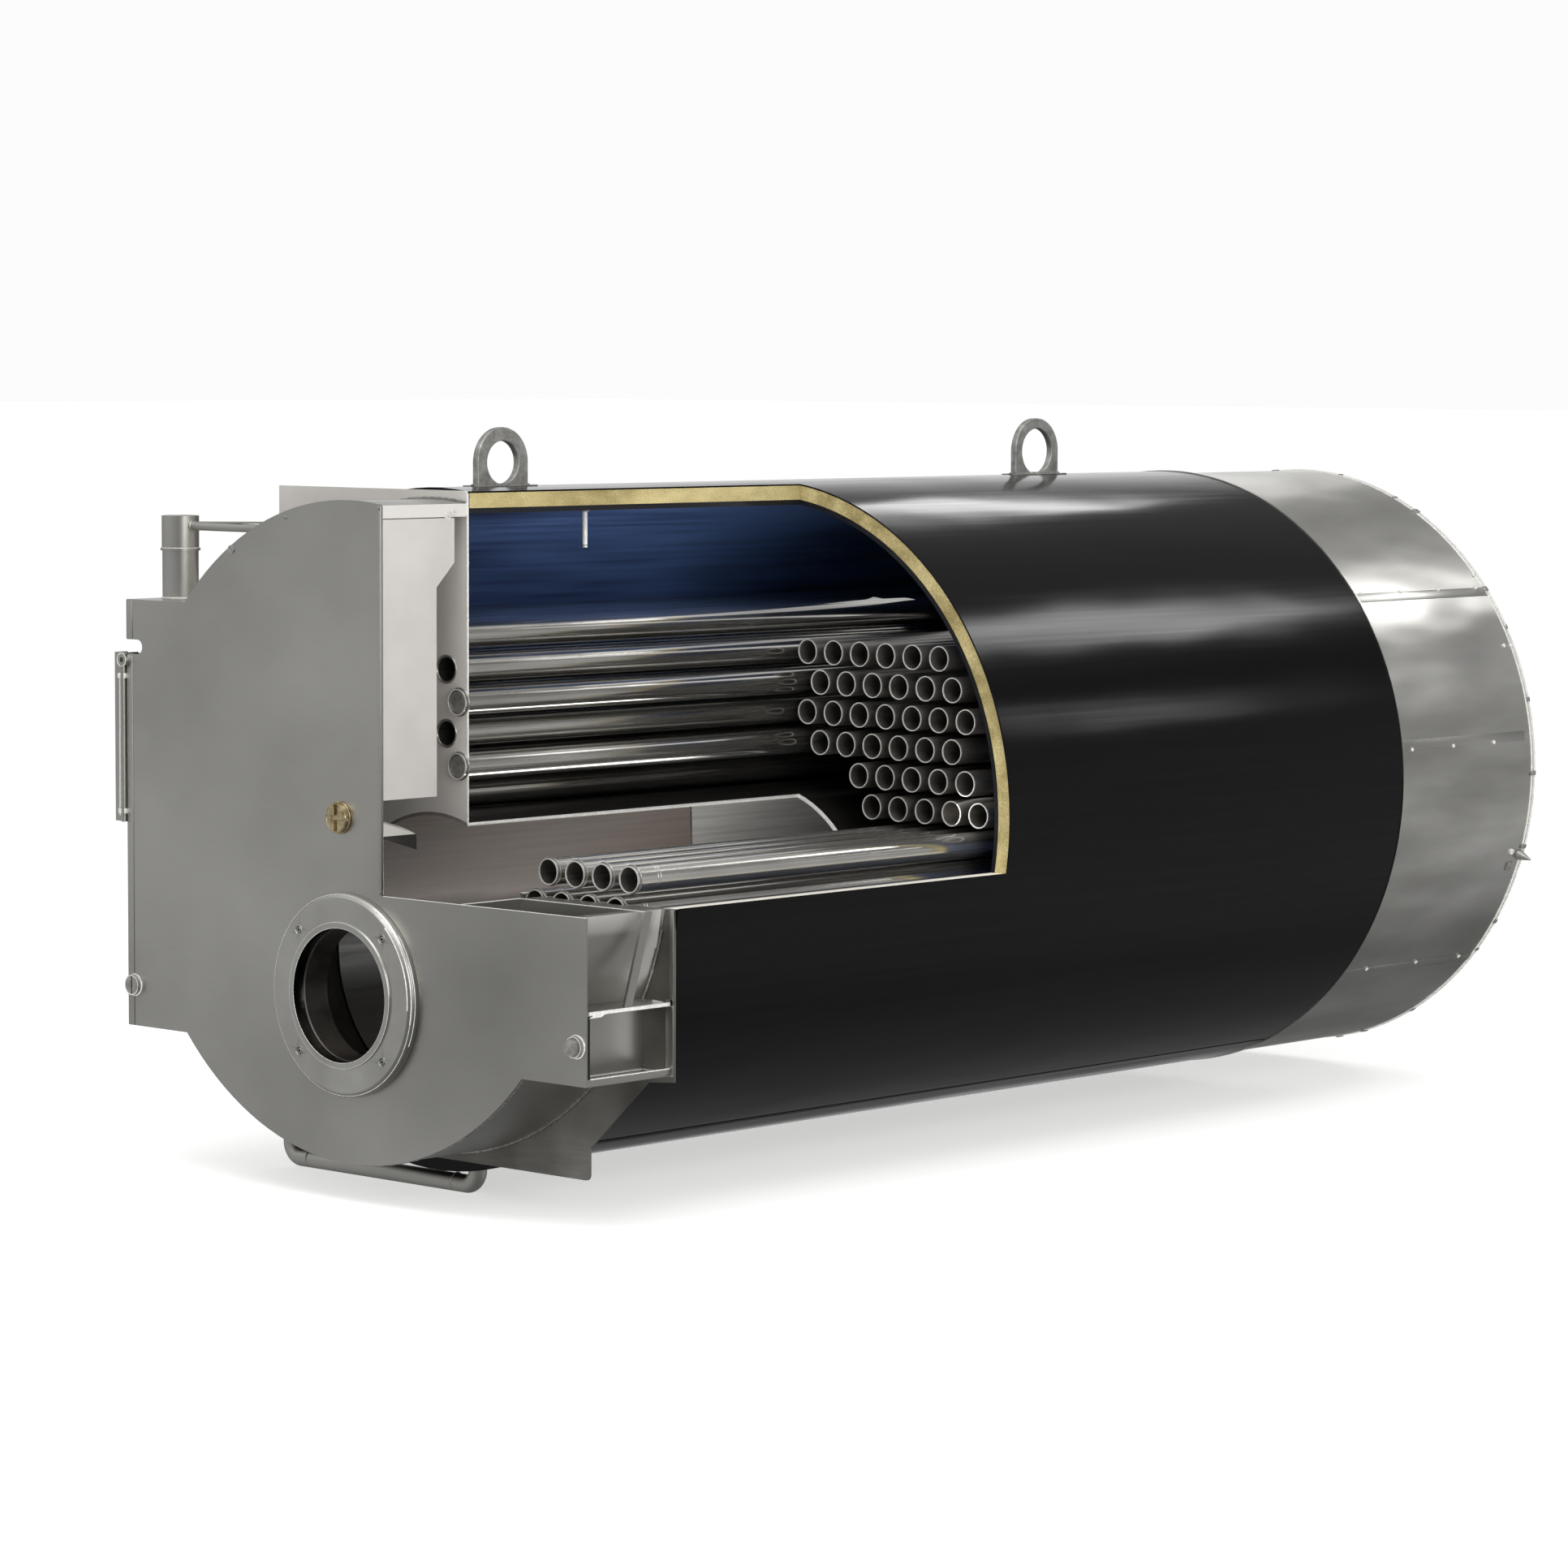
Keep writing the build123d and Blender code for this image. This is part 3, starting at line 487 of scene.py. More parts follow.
def paleHighlightEdge():
    # ground edge given a pale, nearly white finish so that it draws a light line: a painted
    # highlight
    s = fittingSkins["edge"]
    material, add, coords = startMaterial("paleHighlightEdge")
    nick = add("TexNoise", {"Vector": coords, "Scale": 1000 / s["size"], "Detail": 3.0})
    color = add("Mix", {0: add("MapRange", (nick, 0.3, 0.7)), 6: s["light"], 7: s["dark"]},
                data_type="RGBA")
    return endMaterial(material, add, {
        "Base Color": color, "Metallic": 0.15,
        "Roughness": add("MapRange", (nick, 0.3, 0.7, *s["roughness"]))})


def weldBead():
    # bead laid by hand and brushed: dull silver, darker in its ripples
    s = fittingSkins["bead"]
    material, add, coords = startMaterial("weldBead")
    tint = add("TexNoise", {"Vector": coords, "Scale": 1000 / s["size"], "Detail": 4.0})
    color = add("Mix", {0: add("MapRange", (tint, 0.35, 0.65)), 6: s["light"], 7: s["dark"]},
                data_type="RGBA")
    return endMaterial(material, add, {
        "Base Color": color, "Metallic": 0.85,
        "Roughness": add("MapRange", (tint, 0.3, 0.7, *s["roughness"])),
        "Normal": add("Bump", {"Height": tint, "Distance": 0.0003})})


def shadowGapStrip():
    # black strip in the gap behind the front plate, a painted shadow: soft and matt with a bloom
    s = fittingSkins["shadowGap"]
    material, add, coords = startMaterial("shadowGapStrip")
    bloom = add("TexNoise", {"Vector": coords, "Scale": 1000 / s["size"], "Detail": 3.0})
    color = add("Mix", {0: add("MapRange", (bloom, 0.35, 0.65)), 6: s["dark"], 7: s["light"]},
                data_type="RGBA")
    return endMaterial(material, add, {"Base Color": color, "Metallic": 0.0, "Roughness": 0.7})


groundFinish = groundStainless()
tubeFinish, sheetFinish = drawnTube(), rolledStainless()
finishes = {
    "stainless": groundFinish, "stainless_rear": sheetFinish, "black_paint": stovedBlack(),
    "mineral_wool": mineralWool(), "blue_paint": blueEnamel(), "tube_steel": tubeFinish,
    "plate_steel": milledPlate(), "tinted_steel": temperedSteel(), "lining": castLining(),
    "brass": turnedBrass(), "lug_steel": rolledLug(),
}
highlightEdgeFinish, beadFinish, shadowGapFinish = paleHighlightEdge(), weldBead(), shadowGapStrip()
ownFinishes = {
    "smokebox_drum": groundStainless("drumStainless", paleLitCut=True),
    "burner_flange": turnedFlange(), "burner_sleeve": scaleAndShadeSteel(),
    "throat_ring": shadedThroatLining(), "right_tubes": scaledTube(),
    "lower_right_tubes": drawnTube("brushedTube", 0.9), "thermowell": highlightEdgeFinish,
}

for part in frame["record"]["subparts"]:
    name = part["node"]
    nodes[name].data.materials.clear()
    nodes[name].data.materials.append(ownFinishes.get(name, finishes[part["material_slot"]]))
print("finishes on", len(nodes), "nodes")

# edges that catch the light on the plate work that the CAD leaves sharp
softEdges = {"door_lining": 0.006, "lifting_lug_front": 0.0022, "lifting_lug_rear": 0.0022,
             "burner_flange": 0.0012, "cleanout_cover": 0.002}
for name, width in softEdges.items():
    weld = nodes[name].modifiers.new("weld", "WELD")
    weld.merge_threshold = 0.00001
    bevel = nodes[name].modifiers.new("bevel", "BEVEL")
    bevel.width, bevel.segments, bevel.limit_method = width, 3, "ANGLE"
    bevel.angle_limit = radians(40)
    bevel.harden_normals = True
print("edges softened")

# Building blocks for the added pieces
outFront = Matrix.Rotation(radians(90), 4, "X")          # local Z towards -Y
outRear = Matrix.Rotation(radians(-90), 4, "X")          # local Z towards +Y
outRight = Matrix.Rotation(radians(90), 4, "Y")          # local Z towards +X


def at(x, y, z):
    return Matrix.Translation((x, y, z))


def roundShell(angle):
    # frame on the boiler axis with local X pointing outwards at an angle over the level
    return at(0, 0, axisZ) @ Matrix.Rotation(-radians(angle), 4, "Y")


def softenEdges(mesh, verts, width, segments=2):
    edges = list({edge for vert in verts for edge in vert.link_edges})
    bmesh.ops.bevel(mesh, geom=edges, offset=width, offset_type="OFFSET", segments=segments,
                    profile=0.5, affect="EDGES", material=-1, clamp_overlap=True)


def addBar(mesh, low, high, place=Matrix(), soft=0.0008, skew=None):
    # a bar with softened edges between two corners, in the frame of place
    verts = bmesh.ops.create_cube(mesh, size=1.0)["verts"]
    size = [b - a for a, b in zip(low, high)]
    middle = [(a + b) / 2 for a, b in zip(low, high)]
    bmesh.ops.scale(mesh, vec=size, verts=verts)
    if skew:
        for vert in verts:
            if vert.co.z > 0:
                vert.co += Vector(skew)
    bmesh.ops.translate(mesh, vec=middle, verts=verts)
    bmesh.ops.transform(mesh, matrix=place, verts=verts)
    softenEdges(mesh, verts, soft)


def addRing(mesh, place, outline, steps=48):
    # a closed outline of (radius, along) points spun round the local Y of place
    corners = [mesh.verts.new(place @ Vector((radius, height, 0))) for radius, height in outline]
    ring = [mesh.edges.new(pair) for pair in zip(corners, corners[1:] + corners[:1])]
    bmesh.ops.spin(mesh, geom=corners + ring, cent=place.translation,
                   axis=place.to_3x3() @ Vector((0, 1, 0)), angle=2 * pi, steps=steps,
                   use_merge=True)


def wireOutline(radius, wire, sides=8):
    return [(radius + wire * cos(2 * pi * i / sides), wire * sin(2 * pi * i / sides))
            for i in range(sides)]


def addScrew(mesh, place, radius, height, socket=0.45, sides=24, recess=0.6):
    # a turned head with a rounded top edge and a hexagon socket, or none
    verts = bmesh.ops.create_cone(mesh, cap_ends=True, segments=sides, radius1=radius,
                                  radius2=radius * 0.96, depth=height,
                                  matrix=place @ at(0, 0, height / 2))["verts"]
    faces = {face for vert in verts for face in vert.link_faces}
    back = place.inverted()
    top = max(faces, key=lambda face: (back @ face.calc_center_median()).z)
    bmesh.ops.inset_region(mesh, faces=[top], thickness=radius * 0.14, depth=height * 0.12)
    if socket:
        bmesh.ops.inset_region(mesh, faces=[top], thickness=radius * (0.84 - socket))
        bmesh.ops.inset_region(mesh, faces=[top], thickness=radius * 0.05,
                               depth=-height * recess)


def addBead(mesh, points, radius, ripple=0.0, sides=8):
    # a weld bead or wire along points, its thickness rippled where ripple isn't 0
    loops = []
    last = len(points) - 1
    for i, point in enumerate(points):
        heading = (Vector(points[min(i + 1, last)]) - Vector(points[max(i - 1, 0)])).normalized()
        turn = heading.to_track_quat("Z", "Y").to_matrix().to_4x4()
        size = radius * (1 + ripple * (i % 2 * 2 - 1))
        verts = bmesh.ops.create_circle(mesh, segments=sides, radius=size, cap_ends=i in (0, last),
                                        matrix=at(*point) @ turn)["verts"]
        loops.append(list({edge for vert in verts for edge in vert.link_edges}))
    for first, second in zip(loops, loops[1:]):
        bmesh.ops.bridge_loops(mesh, edges=first + second)


def lineOf(start, end, step):
    count = max(2, int((Vector(end) - Vector(start)).length / step))
    return [tuple(Vector(start).lerp(Vector(end), i / count)) for i in range(count + 1)]


def arcOf(radius, y, startAngle, endAngle, step, centreZ=axisZ):
    count = max(2, int(abs(radians(endAngle - startAngle)) * radius / step))
    turns = [radians(startAngle + (endAngle - startAngle) * i / count) for i in range(count + 1)]
    return [(radius * cos(a), y, centreZ + radius * sin(a)) for a in turns]


def placePiece(name, mesh, finish, sharp=35):
    bmesh.ops.recalc_face_normals(mesh, faces=mesh.faces)
    data = bpy.data.meshes.new(name)
    mesh.to_mesh(data)
    mesh.free()
    data.materials.append(finish)
    data.shade_smooth()
    data.set_sharp_from_angle(angle=radians(sharp))
    piece = bpy.data.objects.new(name, data)
    bpy.context.scene.collection.objects.link(piece)
    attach(piece, body)
    return piece


# Tube ends: rows of (row from the top, first X, how many) in the triangular pitch
tubeField = {
    "pitch": 0.070, "rise": 0.0606218, "topZ": 0.602, "outer": 0.0254, "rim": 0.0241,
    "wire": 0.0015, "steps": 28, "collars": (0.045, 0.052),
    "right_tubes": ((0, 0.105, 6), (1, 0.140, 6), (2, 0.105, 7), (3, 0.140, 6), (4, 0.245, 5),
                    (5, 0.280, 5)),
    "lower_right_tubes": ((6, 0.315, 4), (7, 0.280, 4)),
    "front_tubes": ((1, 0.070, 1), (3, 0.070, 1)),
    "flush": ((0, 0.035, 1), (2, 0.035, 1)),
}


def tubeSpots(name):
    t = tubeField
    return [(firstX + t["pitch"] * i, t["topZ"] - t["rise"] * row)
            for row, firstX, count in t[name] for i in range(count)]


def tubeEnds():
    t = tubeField
    rims, collars, welds, plugs = (bmesh.new() for _ in range(4))
    for name in ("right_tubes", "lower_right_tubes", "front_tubes"):
        for x, z in tubeSpots(name):
            addRing(rims, at(x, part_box(name)[0].y + 0.0012, z),
                    wireOutline(t["rim"], t["wire"]), t["steps"])
    for name in ("lower_right_tubes", "front_tubes", "flush"):
        for x, z in tubeSpots(name):
            addRing(welds, at(x, tubePlateY - 0.0004, z),
                    wireOutline(t["outer"] + 0.0008, 0.0014, 6), t["steps"])
    for x, z in tubeSpots("lower_right_tubes"):
        # the ends are rolled out a little as far as these rings
        for reach in t["collars"]:
            addRing(collars, at(x, tubePlateY + reach, z), wireOutline(t["outer"], 0.0004, 6),
                    t["steps"])
    for x, z in tubeSpots("front_tubes"):
        # the two proud ends are plugged a little inside their rims
        addScrew(plugs, at(x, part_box("front_tubes")[0].y + 0.006, z) @ outFront, 0.0224, 0.003, 0,
                 t["steps"])
    placePiece("tube_plugs", plugs, finishes["lug_steel"])
    placePiece("tube_rims", rims, highlightEdgeFinish)
    placePiece("tube_collars", collars, tubeFinish)
    placePiece("tube_welds", welds, beadFinish)


tubeEnds()
print("tube ends done")

# Front plate: screws and beads of the burner flange, hem, folds and plugs
drumRadius, drumZ = 0.622, axisZ + 0.008      # the smokebox sits a little above the shell's axis
flangeParts = {"face": -0.022, "screwReach": 0.11455, "screwRadius": 0.0058, "washer": 0.0088}


def burnerTrim():
    f = flangeParts
    screws, beads = bmesh.new(), bmesh.new()
    for sideX in (-1, 1):
        for sideZ in (-1, 1):
            x, z = sideX * f["screwReach"], sideZ * f["screwReach"]
            addScrew(screws, at(x, f["face"] + 0.008, z) @ outFront, f["screwRadius"], 0.007, 0.5,
                     18, 0.8)
            addRing(screws, at(x, f["face"], z), wireOutline(f["washer"], 0.0007, 6), 24)
    # fine bright lines where the steps catch the light, drawn heavier on the right
    for radius, y, wire in ((0.1892, -0.0170, 0.0006), (0.1372, -0.0254, 0.0006),
                            (0.1268, -0.0254, 0.0006)):
        addRing(beads, at(0, y, 0), wireOutline(radius, wire, 6), 96)
    for radius, y, start, end in ((0.1890, -0.0170, -12, 62), (0.1832, -0.0216, -4, 48),
                                  (0.1914, -0.0100, -25, 40)):
        addBead(beads, [(x, y, z) for x, _, z in arcOf(radius, 0, start, end, 0.008, 0)], 0.0013)
    placePiece("flange_screws", screws, groundFinish)
    placePiece("flange_beads", beads, highlightEdgeFinish)


plateParts = {"hemWidth": 0.007, "hemProud": 0.0016, "foldWidth": 0.018, "seamZ": 0.7085,
              "plugs": ((-0.326, 0.823, 0.0085), (-0.173, 0.887, 0.0035))}


def plateTrim():
    p = plateParts
    hem, folds, plugs = bmesh.new(), bmesh.new(), bmesh.new()
    top = drumZ + sqrt(drumRadius ** 2 - cutX ** 2)
    addBar(hem, (cutX - p["hemWidth"], -p["hemProud"], cutZ + 0.004),
           (cutX + 0.0012, plateHigh.y + 0.002, top - 0.002), soft=0.002)
    for z in (cutZ + 0.007, top - 0.006):
        addScrew(hem, at(cutX - 0.0035, -0.0015, z) @ outFront, 0.0045, 0.0022, 0)
    left = plateLow.x
    for low, high in ((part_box("left_box_bottom")[0].z + 0.001, 0.610), (0.642, 0.716)):
        addBar(folds, (left + 0.0005, -0.0014, low),
               (left + p["foldWidth"], 0.0006, high), soft=0.0006)
    addBar(folds, (left + 0.02, -0.0005, p["seamZ"]), (-0.47, 0.0004, p["seamZ"] + 0.0016),
           soft=0.0002)
    for x, z, radius in p["plugs"]:
        addScrew(plugs, at(x, 0.0, z) @ outFront, radius, 0.0022, 0.4, 20, 0.5)
    placePiece("plate_hem", hem, groundFinish)
    placePiece("plate_folds", folds, groundFinish)
    placePiece("plate_plugs", plugs, finishes["lug_steel"])


knobParts = {"x": -0.022, "z": 0.331, "front": -0.012}


def knobTrim():
    k = knobParts
    rings = bmesh.new()
    addRing(rings, at(k["x"], -0.0025, k["z"]), wireOutline(0.0292, 0.0016), 48)
    addRing(rings, at(k["x"], k["front"] + 0.0006, k["z"]), wireOutline(0.0262, 0.0012), 48)
    placePiece("knob_rings", rings, finishes["brass"])
    caps = bmesh.new()
    latchLow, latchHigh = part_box("left_latch")
    buttonLow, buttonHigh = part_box("right_button")
    for low, high in ((latchLow, latchHigh), (buttonLow, buttonHigh)):
        middle = (low + high) / 2
        addRing(caps, at(middle.x, -0.0016, middle.z),
                wireOutline((high.x - low.x) / 2 + 0.0006, 0.0016), 40)
        addRing(caps, at(middle.x, -0.0094, middle.z),
                wireOutline((high.x - low.x) / 2 - 0.0012, 0.0010), 40)
    placePiece("button_rings", caps, highlightEdgeFinish)


burnerTrim()
plateTrim()
knobTrim()
print("front plate trim done")

# Smokebox: bolts on the cut drum wall, cut edges, welds
cutParts = {"spatter": 46, "seed": 5, "plateTop": 0.645}


def cutEdges():
    c = cutParts
    # the beads and drops below are in the pale finish, as painted highlights along the cut edges
    edges = bmesh.new()
    crown = furnaceZ + sqrt(furnaceRadius ** 2 - cutX ** 2)
    side = sqrt(furnaceRadius ** 2 - (cutZ - furnaceZ) ** 2)
    top = axisZ + c["plateTop"]
    # tube plate edge along the upright cut
    addBar(edges, (cutX - 0.0006, tubePlateY - 0.0006, crown - 0.004),
           (cutX + 0.0012, shellFront + 0.0002, top - 0.006), soft=0.0005)
    corner = [(cutX - 0.0062 + x, y, z) for x, y, z in
              arcOf(0.0062, tubePlateY + 0.001, 0, 90, 0.002, top - 0.0062)]
    addBead(edges, corner, 0.0008)
    # furnace: both straight edges and the arc at the rear of the opening
    addBead(edges, lineOf((cutX, tubePlateY, crown - 0.003), (cutX, cutBackY, crown - 0.003), 0.3),
            0.0034)
    addBead(edges, lineOf((side - 0.003, tubePlateY, cutZ), (side - 0.003, cutBackY, cutZ), 0.3),
            0.0022)
    start = degrees(atan2(cutZ - furnaceZ, side))
    end = degrees(atan2(crown - furnaceZ, cutX))
    addBead(edges, arcOf(furnaceRadius - 0.003, cutBackY - 0.0004, start, end, 0.02, furnaceZ),
            0.0042)
    # front plate and pocket on the level cut
    pocketX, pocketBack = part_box("pocket_sheet")[0].x, 0.1535
    addBead(edges, lineOf((cutX + 0.004, 0.0012, cutZ), (plateHigh.x - 0.001, 0.0012, cutZ), 0.2),
            0.0011)
    addBead(edges, lineOf((pocketX, plateHigh.y, cutZ), (pocketX, pocketBack, cutZ), 0.1), 0.0014)
    addBead(edges, lineOf((pocketX, pocketBack, cutZ), (plateHigh.x - 0.003, pocketBack, cutZ),
                          0.2), 0.0014)
    # drops of spatter along the plate edge
    draw = Random(c["seed"])
    for i in range(c["spatter"]):
        z = draw.uniform(crown, top - 0.01)
        bmesh.ops.create_icosphere(edges, subdivisions=1, radius=draw.uniform(0.0008, 0.0019),
                                   matrix=at(cutX + draw.uniform(0.0004, 0.0014),
                                             draw.uniform(tubePlateY - 0.001, shellFront), z))
    placePiece("cut_edges", edges, highlightEdgeFinish)


def sheetWelds():
    # drum to tube plate, and the straight corners of the side boxes
    beads = bmesh.new()
    radius = drumRadius - 0.0005
    for start, end in ((-172, -14), (82, 150)):
        addBead(beads, arcOf(radius, tubePlateY - 0.002, start, end, 0.010, drumZ), 0.0028, 0.16, 6)
    addBead(beads, arcOf(radius, plateHigh.y + 0.002, -150, -42, 0.012, drumZ), 0.002, 0.14, 6)
    placePiece("sheet_welds", beads, beadFinish)


liningBolts = {"y": (0.170, 0.185), "z": (0.892, 0.8995), "x": 0.0902}


def boltPair():
    b = liningBolts
    bolts = bmesh.new()
    for y, z in zip(b["y"], b["z"]):
        addRing(bolts, at(b["x"] + 0.0006, y, z) @ Matrix.Rotation(radians(90), 4, "Z"),
                wireOutline(0.0064, 0.0013, 6), 24)
        addScrew(bolts, at(b["x"] - 0.001, y, z) @ outRight, 0.0056, 0.0026, 0.6, 18, 2.0)
    placePiece("lining_bolts", bolts, finishes["plate_steel"])


cutEdges()
sheetWelds()
boltPair()
print("smokebox trim done")

# Right side box: corner strip, shelf edge and tab, ledges on the floor, black strip of painted
# shadow
boxParts = {"postWidth": 0.019, "postDepth": 0.003, "tab": 0.030}


def sideBox():
    b = boxParts
    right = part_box("right_box_floor")[1].x
    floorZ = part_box("right_box_floor")[0].z
    shelfLow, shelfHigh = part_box("right_box_shelf")
    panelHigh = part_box("right_box_panel")[1]
    trim, shadowGap, bright = bmesh.new(), bmesh.new(), bmesh.new()
    plateRight = sheetHigh.x
    addBar(trim, (plateRight - b["postWidth"], tubePlateY - b["postDepth"], floorZ - 0.002),
           (plateRight - 0.0005, tubePlateY + 0.0002, shelfLow.z + 0.012), soft=0.0012)
    addBar(trim, (plateRight - 0.009, tubePlateY - b["postDepth"], shelfLow.z),
           (plateRight - 0.0005, tubePlateY + 0.0002, cutZ - 0.001), soft=0.0012)
    addBar(trim, (right - 0.002, 0.014, floorZ + 0.0005), (right + 0.0006, tubePlateY - 0.004,
                                                           floorZ + 0.0045), soft=0.0008)
    # bright lines on the shelf's front edge and on the ledges of the floor
    addBar(bright, (right - 0.001, 0.008, shelfLow.z + 0.0008),
           (right + 0.0010, tubePlateY - 0.004, shelfHigh.z - 0.0004), soft=0.0006)
    addBar(bright, (right - 0.0045, 0.012, floorZ + 0.0126),
           (right + 0.0006, tubePlateY - 0.004, floorZ + 0.0146), soft=0.0005)
    addBar(bright, (panelHigh.x, 0.020, floorZ + 0.0045),
           (panelHigh.x + 0.006, tubePlateY - 0.004, floorZ + 0.0075), soft=0.0008)
    addBar(bright, (panelHigh.x, tubePlateY - 0.007, floorZ + 0.0045),
           (right - 0.005, tubePlateY - 0.0002, floorZ + 0.0075), soft=0.0008)
    # three-cornered tab under the shelf behind the front plate
    addBar(bright, (right - 0.0035, 0.008, shelfLow.z - 0.004),
           (right + 0.0008, 0.008 + b["tab"], shelfLow.z + 0.001), soft=0.0006,
           skew=(0, 0.012, 0))
    # painted shadow: a black strip fills the gap behind the front plate
    addBar(shadowGap, (right - 0.006, plateHigh.y + 0.0005, floorZ + 0.004),
           (right - 0.0008, 0.0115, shelfLow.z - 0.001), soft=0.0008)
    placePiece("box_trim", trim, groundFinish)
    placePiece("box_bright_edges", bright, highlightEdgeFinish)
    placePiece("box_shadow_gap", shadowGap, shadowGapFinish)


sideBox()
print("side box done")

# Shell: seams, edge of the cladding, thermometer boss, lug collars
shellParts = {"seams": (-64.0, 112.0, 187.0), "seamWidth": 0.026, "edgeWire": 0.0014}


def shellTrim():
    s = shellParts
    seams, edge, boss, collars, welds = (bmesh.new() for _ in range(5))
    for angle in s["seams"]:
        addBar(seams, (shellRadius - 0.0008, shellFront + 0.004, -s["seamWidth"] / 2),
               (shellRadius + 0.0009, blackEnd - 0.008, s["seamWidth"] / 2), roundShell(angle),
               0.0005)
    low = degrees(atan2(cutZ - axisZ, sqrt(shellRadius ** 2 - (cutZ - axisZ) ** 2)))
    high = degrees(atan2(sqrt(shellRadius ** 2 - cutX ** 2), cutX))
    radius = shellRadius - 0.0012
    addBead(edge, arcOf(radius, cutBackY, low, high, 0.02), s["edgeWire"])
    for angle in (low, high):
        x, z = radius * cos(radians(angle)), axisZ + radius * sin(radians(angle))
        addBead(edge, lineOf((x, shellFront, z), (x, cutBackY, z), 0.3), s["edgeWire"])
    wellLow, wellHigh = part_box("thermowell")
    wellY = (wellLow.y + wellHigh.y) / 2
    addScrew(boss, at(0, wellY, wellHigh.z + 0.001) @ Matrix.Rotation(pi, 4, "X"), 0.010, 0.012,
             0, 6)
    addRing(boss, at(0, wellY, wellLow.z + 0.004) @ Matrix.Rotation(radians(90), 4, "X"),
            wireOutline(0.0046, 0.0010, 6), 20)
    for name in ("lifting_lug_front", "lifting_lug_rear"):
        lugLow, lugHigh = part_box(name)
        crown = axisZ + shellRadius
        for x in (-1, 1):
            addBar(collars, (min(x * 0.0085, x * 0.022), lugLow.y - 0.012, crown - 0.0012),
                   (max(x * 0.0085, x * 0.022), lugHigh.y + 0.012, crown + 0.0018), soft=0.001)
            addBead(welds, lineOf((x * 0.0085, lugLow.y, crown + 0.002),
                                  (x * 0.0085, lugHigh.y, crown + 0.002), 0.006), 0.0026, 0.2, 6)
        for y in (lugLow.y - 0.001, lugHigh.y + 0.001):
            addBead(welds, lineOf((-0.0085, y, crown + 0.002), (0.0085, y, crown + 0.002), 0.006),
                    0.0026, 0.2, 6)
    placePiece("cladding_seams", seams, finishes["black_paint"])
    placePiece("cladding_edge", edge, finishes["black_paint"])
    placePiece("well_boss", boss, tubeFinish)
    placePiece("lug_collars", collars, finishes["lug_steel"])
    placePiece("lug_welds", welds, beadFinish)


def furnaceSeam():
    # the slanting weld between the front course and the next, on the left of the furnace
    seam = bmesh.new()
    line = arcOf(furnaceRadius - 0.0062, 0, degrees(atan2(0.255, cutX)), 250, 0.012, furnaceZ)
    addBead(seam, [(x, furnaceHeat["seamY"] - furnaceHeat["slant"] * x, z) for x, y, z in line],
            0.0022, 0.15, 6)
    placePiece("furnace_seam", seam, beadFinish)


shellTrim()
furnaceSeam()
print("shell trim done")

# Rear jacket: rolled rim, clips, lap seams, rivets, fittings of the end plate
rearParts = {
    "rimWire": 0.0028, "clips": 26, "seed": 11,
    "seams": ((7.0, 0.012, 0.46), (37.0, 0.008, 0.487), (-41.0, 0.008, 0.487),
              (118.0, 0.008, 0.487)),
    "rivets": ((25.0, 2.884), (25.0, 2.910), (41.0, 2.902), (37.9, 2.46), (37.9, 2.60),
               (37.9, 2.74), (37.9, 2.88), (6.2, 2.47), (6.2, 2.62), (6.2, 2.77), (-40.2, 2.52),
               (-40.2, 2.70), (-40.2, 2.86)),
}


def rearJacket():
    r = rearParts
    rim, clips, seams, rivets = (bmesh.new() for _ in range(4))
    addRing(rim, at(0, rearEnd - 0.0028, axisZ), wireOutline(rearRadius - 0.0004, r["rimWire"]),
            180)
    addRing(rim, at(0, rearEnd - 0.012, axisZ),
            [(rearRadius - 0.0005, -0.003), (rearRadius + 0.0012, -0.002),
             (rearRadius + 0.0012, 0.002), (rearRadius - 0.0005, 0.003)], 180)
    draw = Random(r["seed"])
    for i in range(r["clips"]):
        angle = 360 * (i + draw.uniform(-0.35, 0.35)) / r["clips"]
        width, reach = draw.uniform(0.006, 0.013), draw.uniform(0.010, 0.020)
        addBar(clips, (rearRadius - 0.001, rearEnd - reach, -width / 2),
               (rearRadius + draw.uniform(0.0025, 0.0048), rearEnd - 0.0004, width / 2),
               roundShell(angle), 0.001)
    for angle, start, end in r["seams"]:
        addBar(seams, (rearRadius - 0.0006, blackEnd + start, -0.011),
               (rearRadius + 0.0010, blackEnd + end, 0.011), roundShell(angle), 0.0006)
    for angle, y in r["rivets"]:
        addScrew(rivets, roundShell(angle) @ at(rearRadius + 0.0002, y, 0) @ outRight, 0.0042,
                 0.0026, 0, 14)
    addScrew(rivets, roundShell(-15.9) @ at(rearRadius, 2.872, 0) @ outRight, 0.0065, 0.004,
             0.4, 16)
    addBar(clips, (rearRadius - 0.001, 2.868, -0.010), (rearRadius + 0.0035, 2.886, 0.010),
           roundShell(-19.0), 0.0012)
    placePiece("rear_rim", rim, highlightEdgeFinish)
    placePiece("rear_clips", clips, finishes["lug_steel"])
    placePiece("rear_seams", seams, sheetFinish)
    placePiece("rear_rivets", rivets, highlightEdgeFinish)


endParts = {"bolts": 24, "boltCircle": 0.600, "coverBolts": 8, "coverCircle": 0.092,
            "flangeRadius": 0.158}


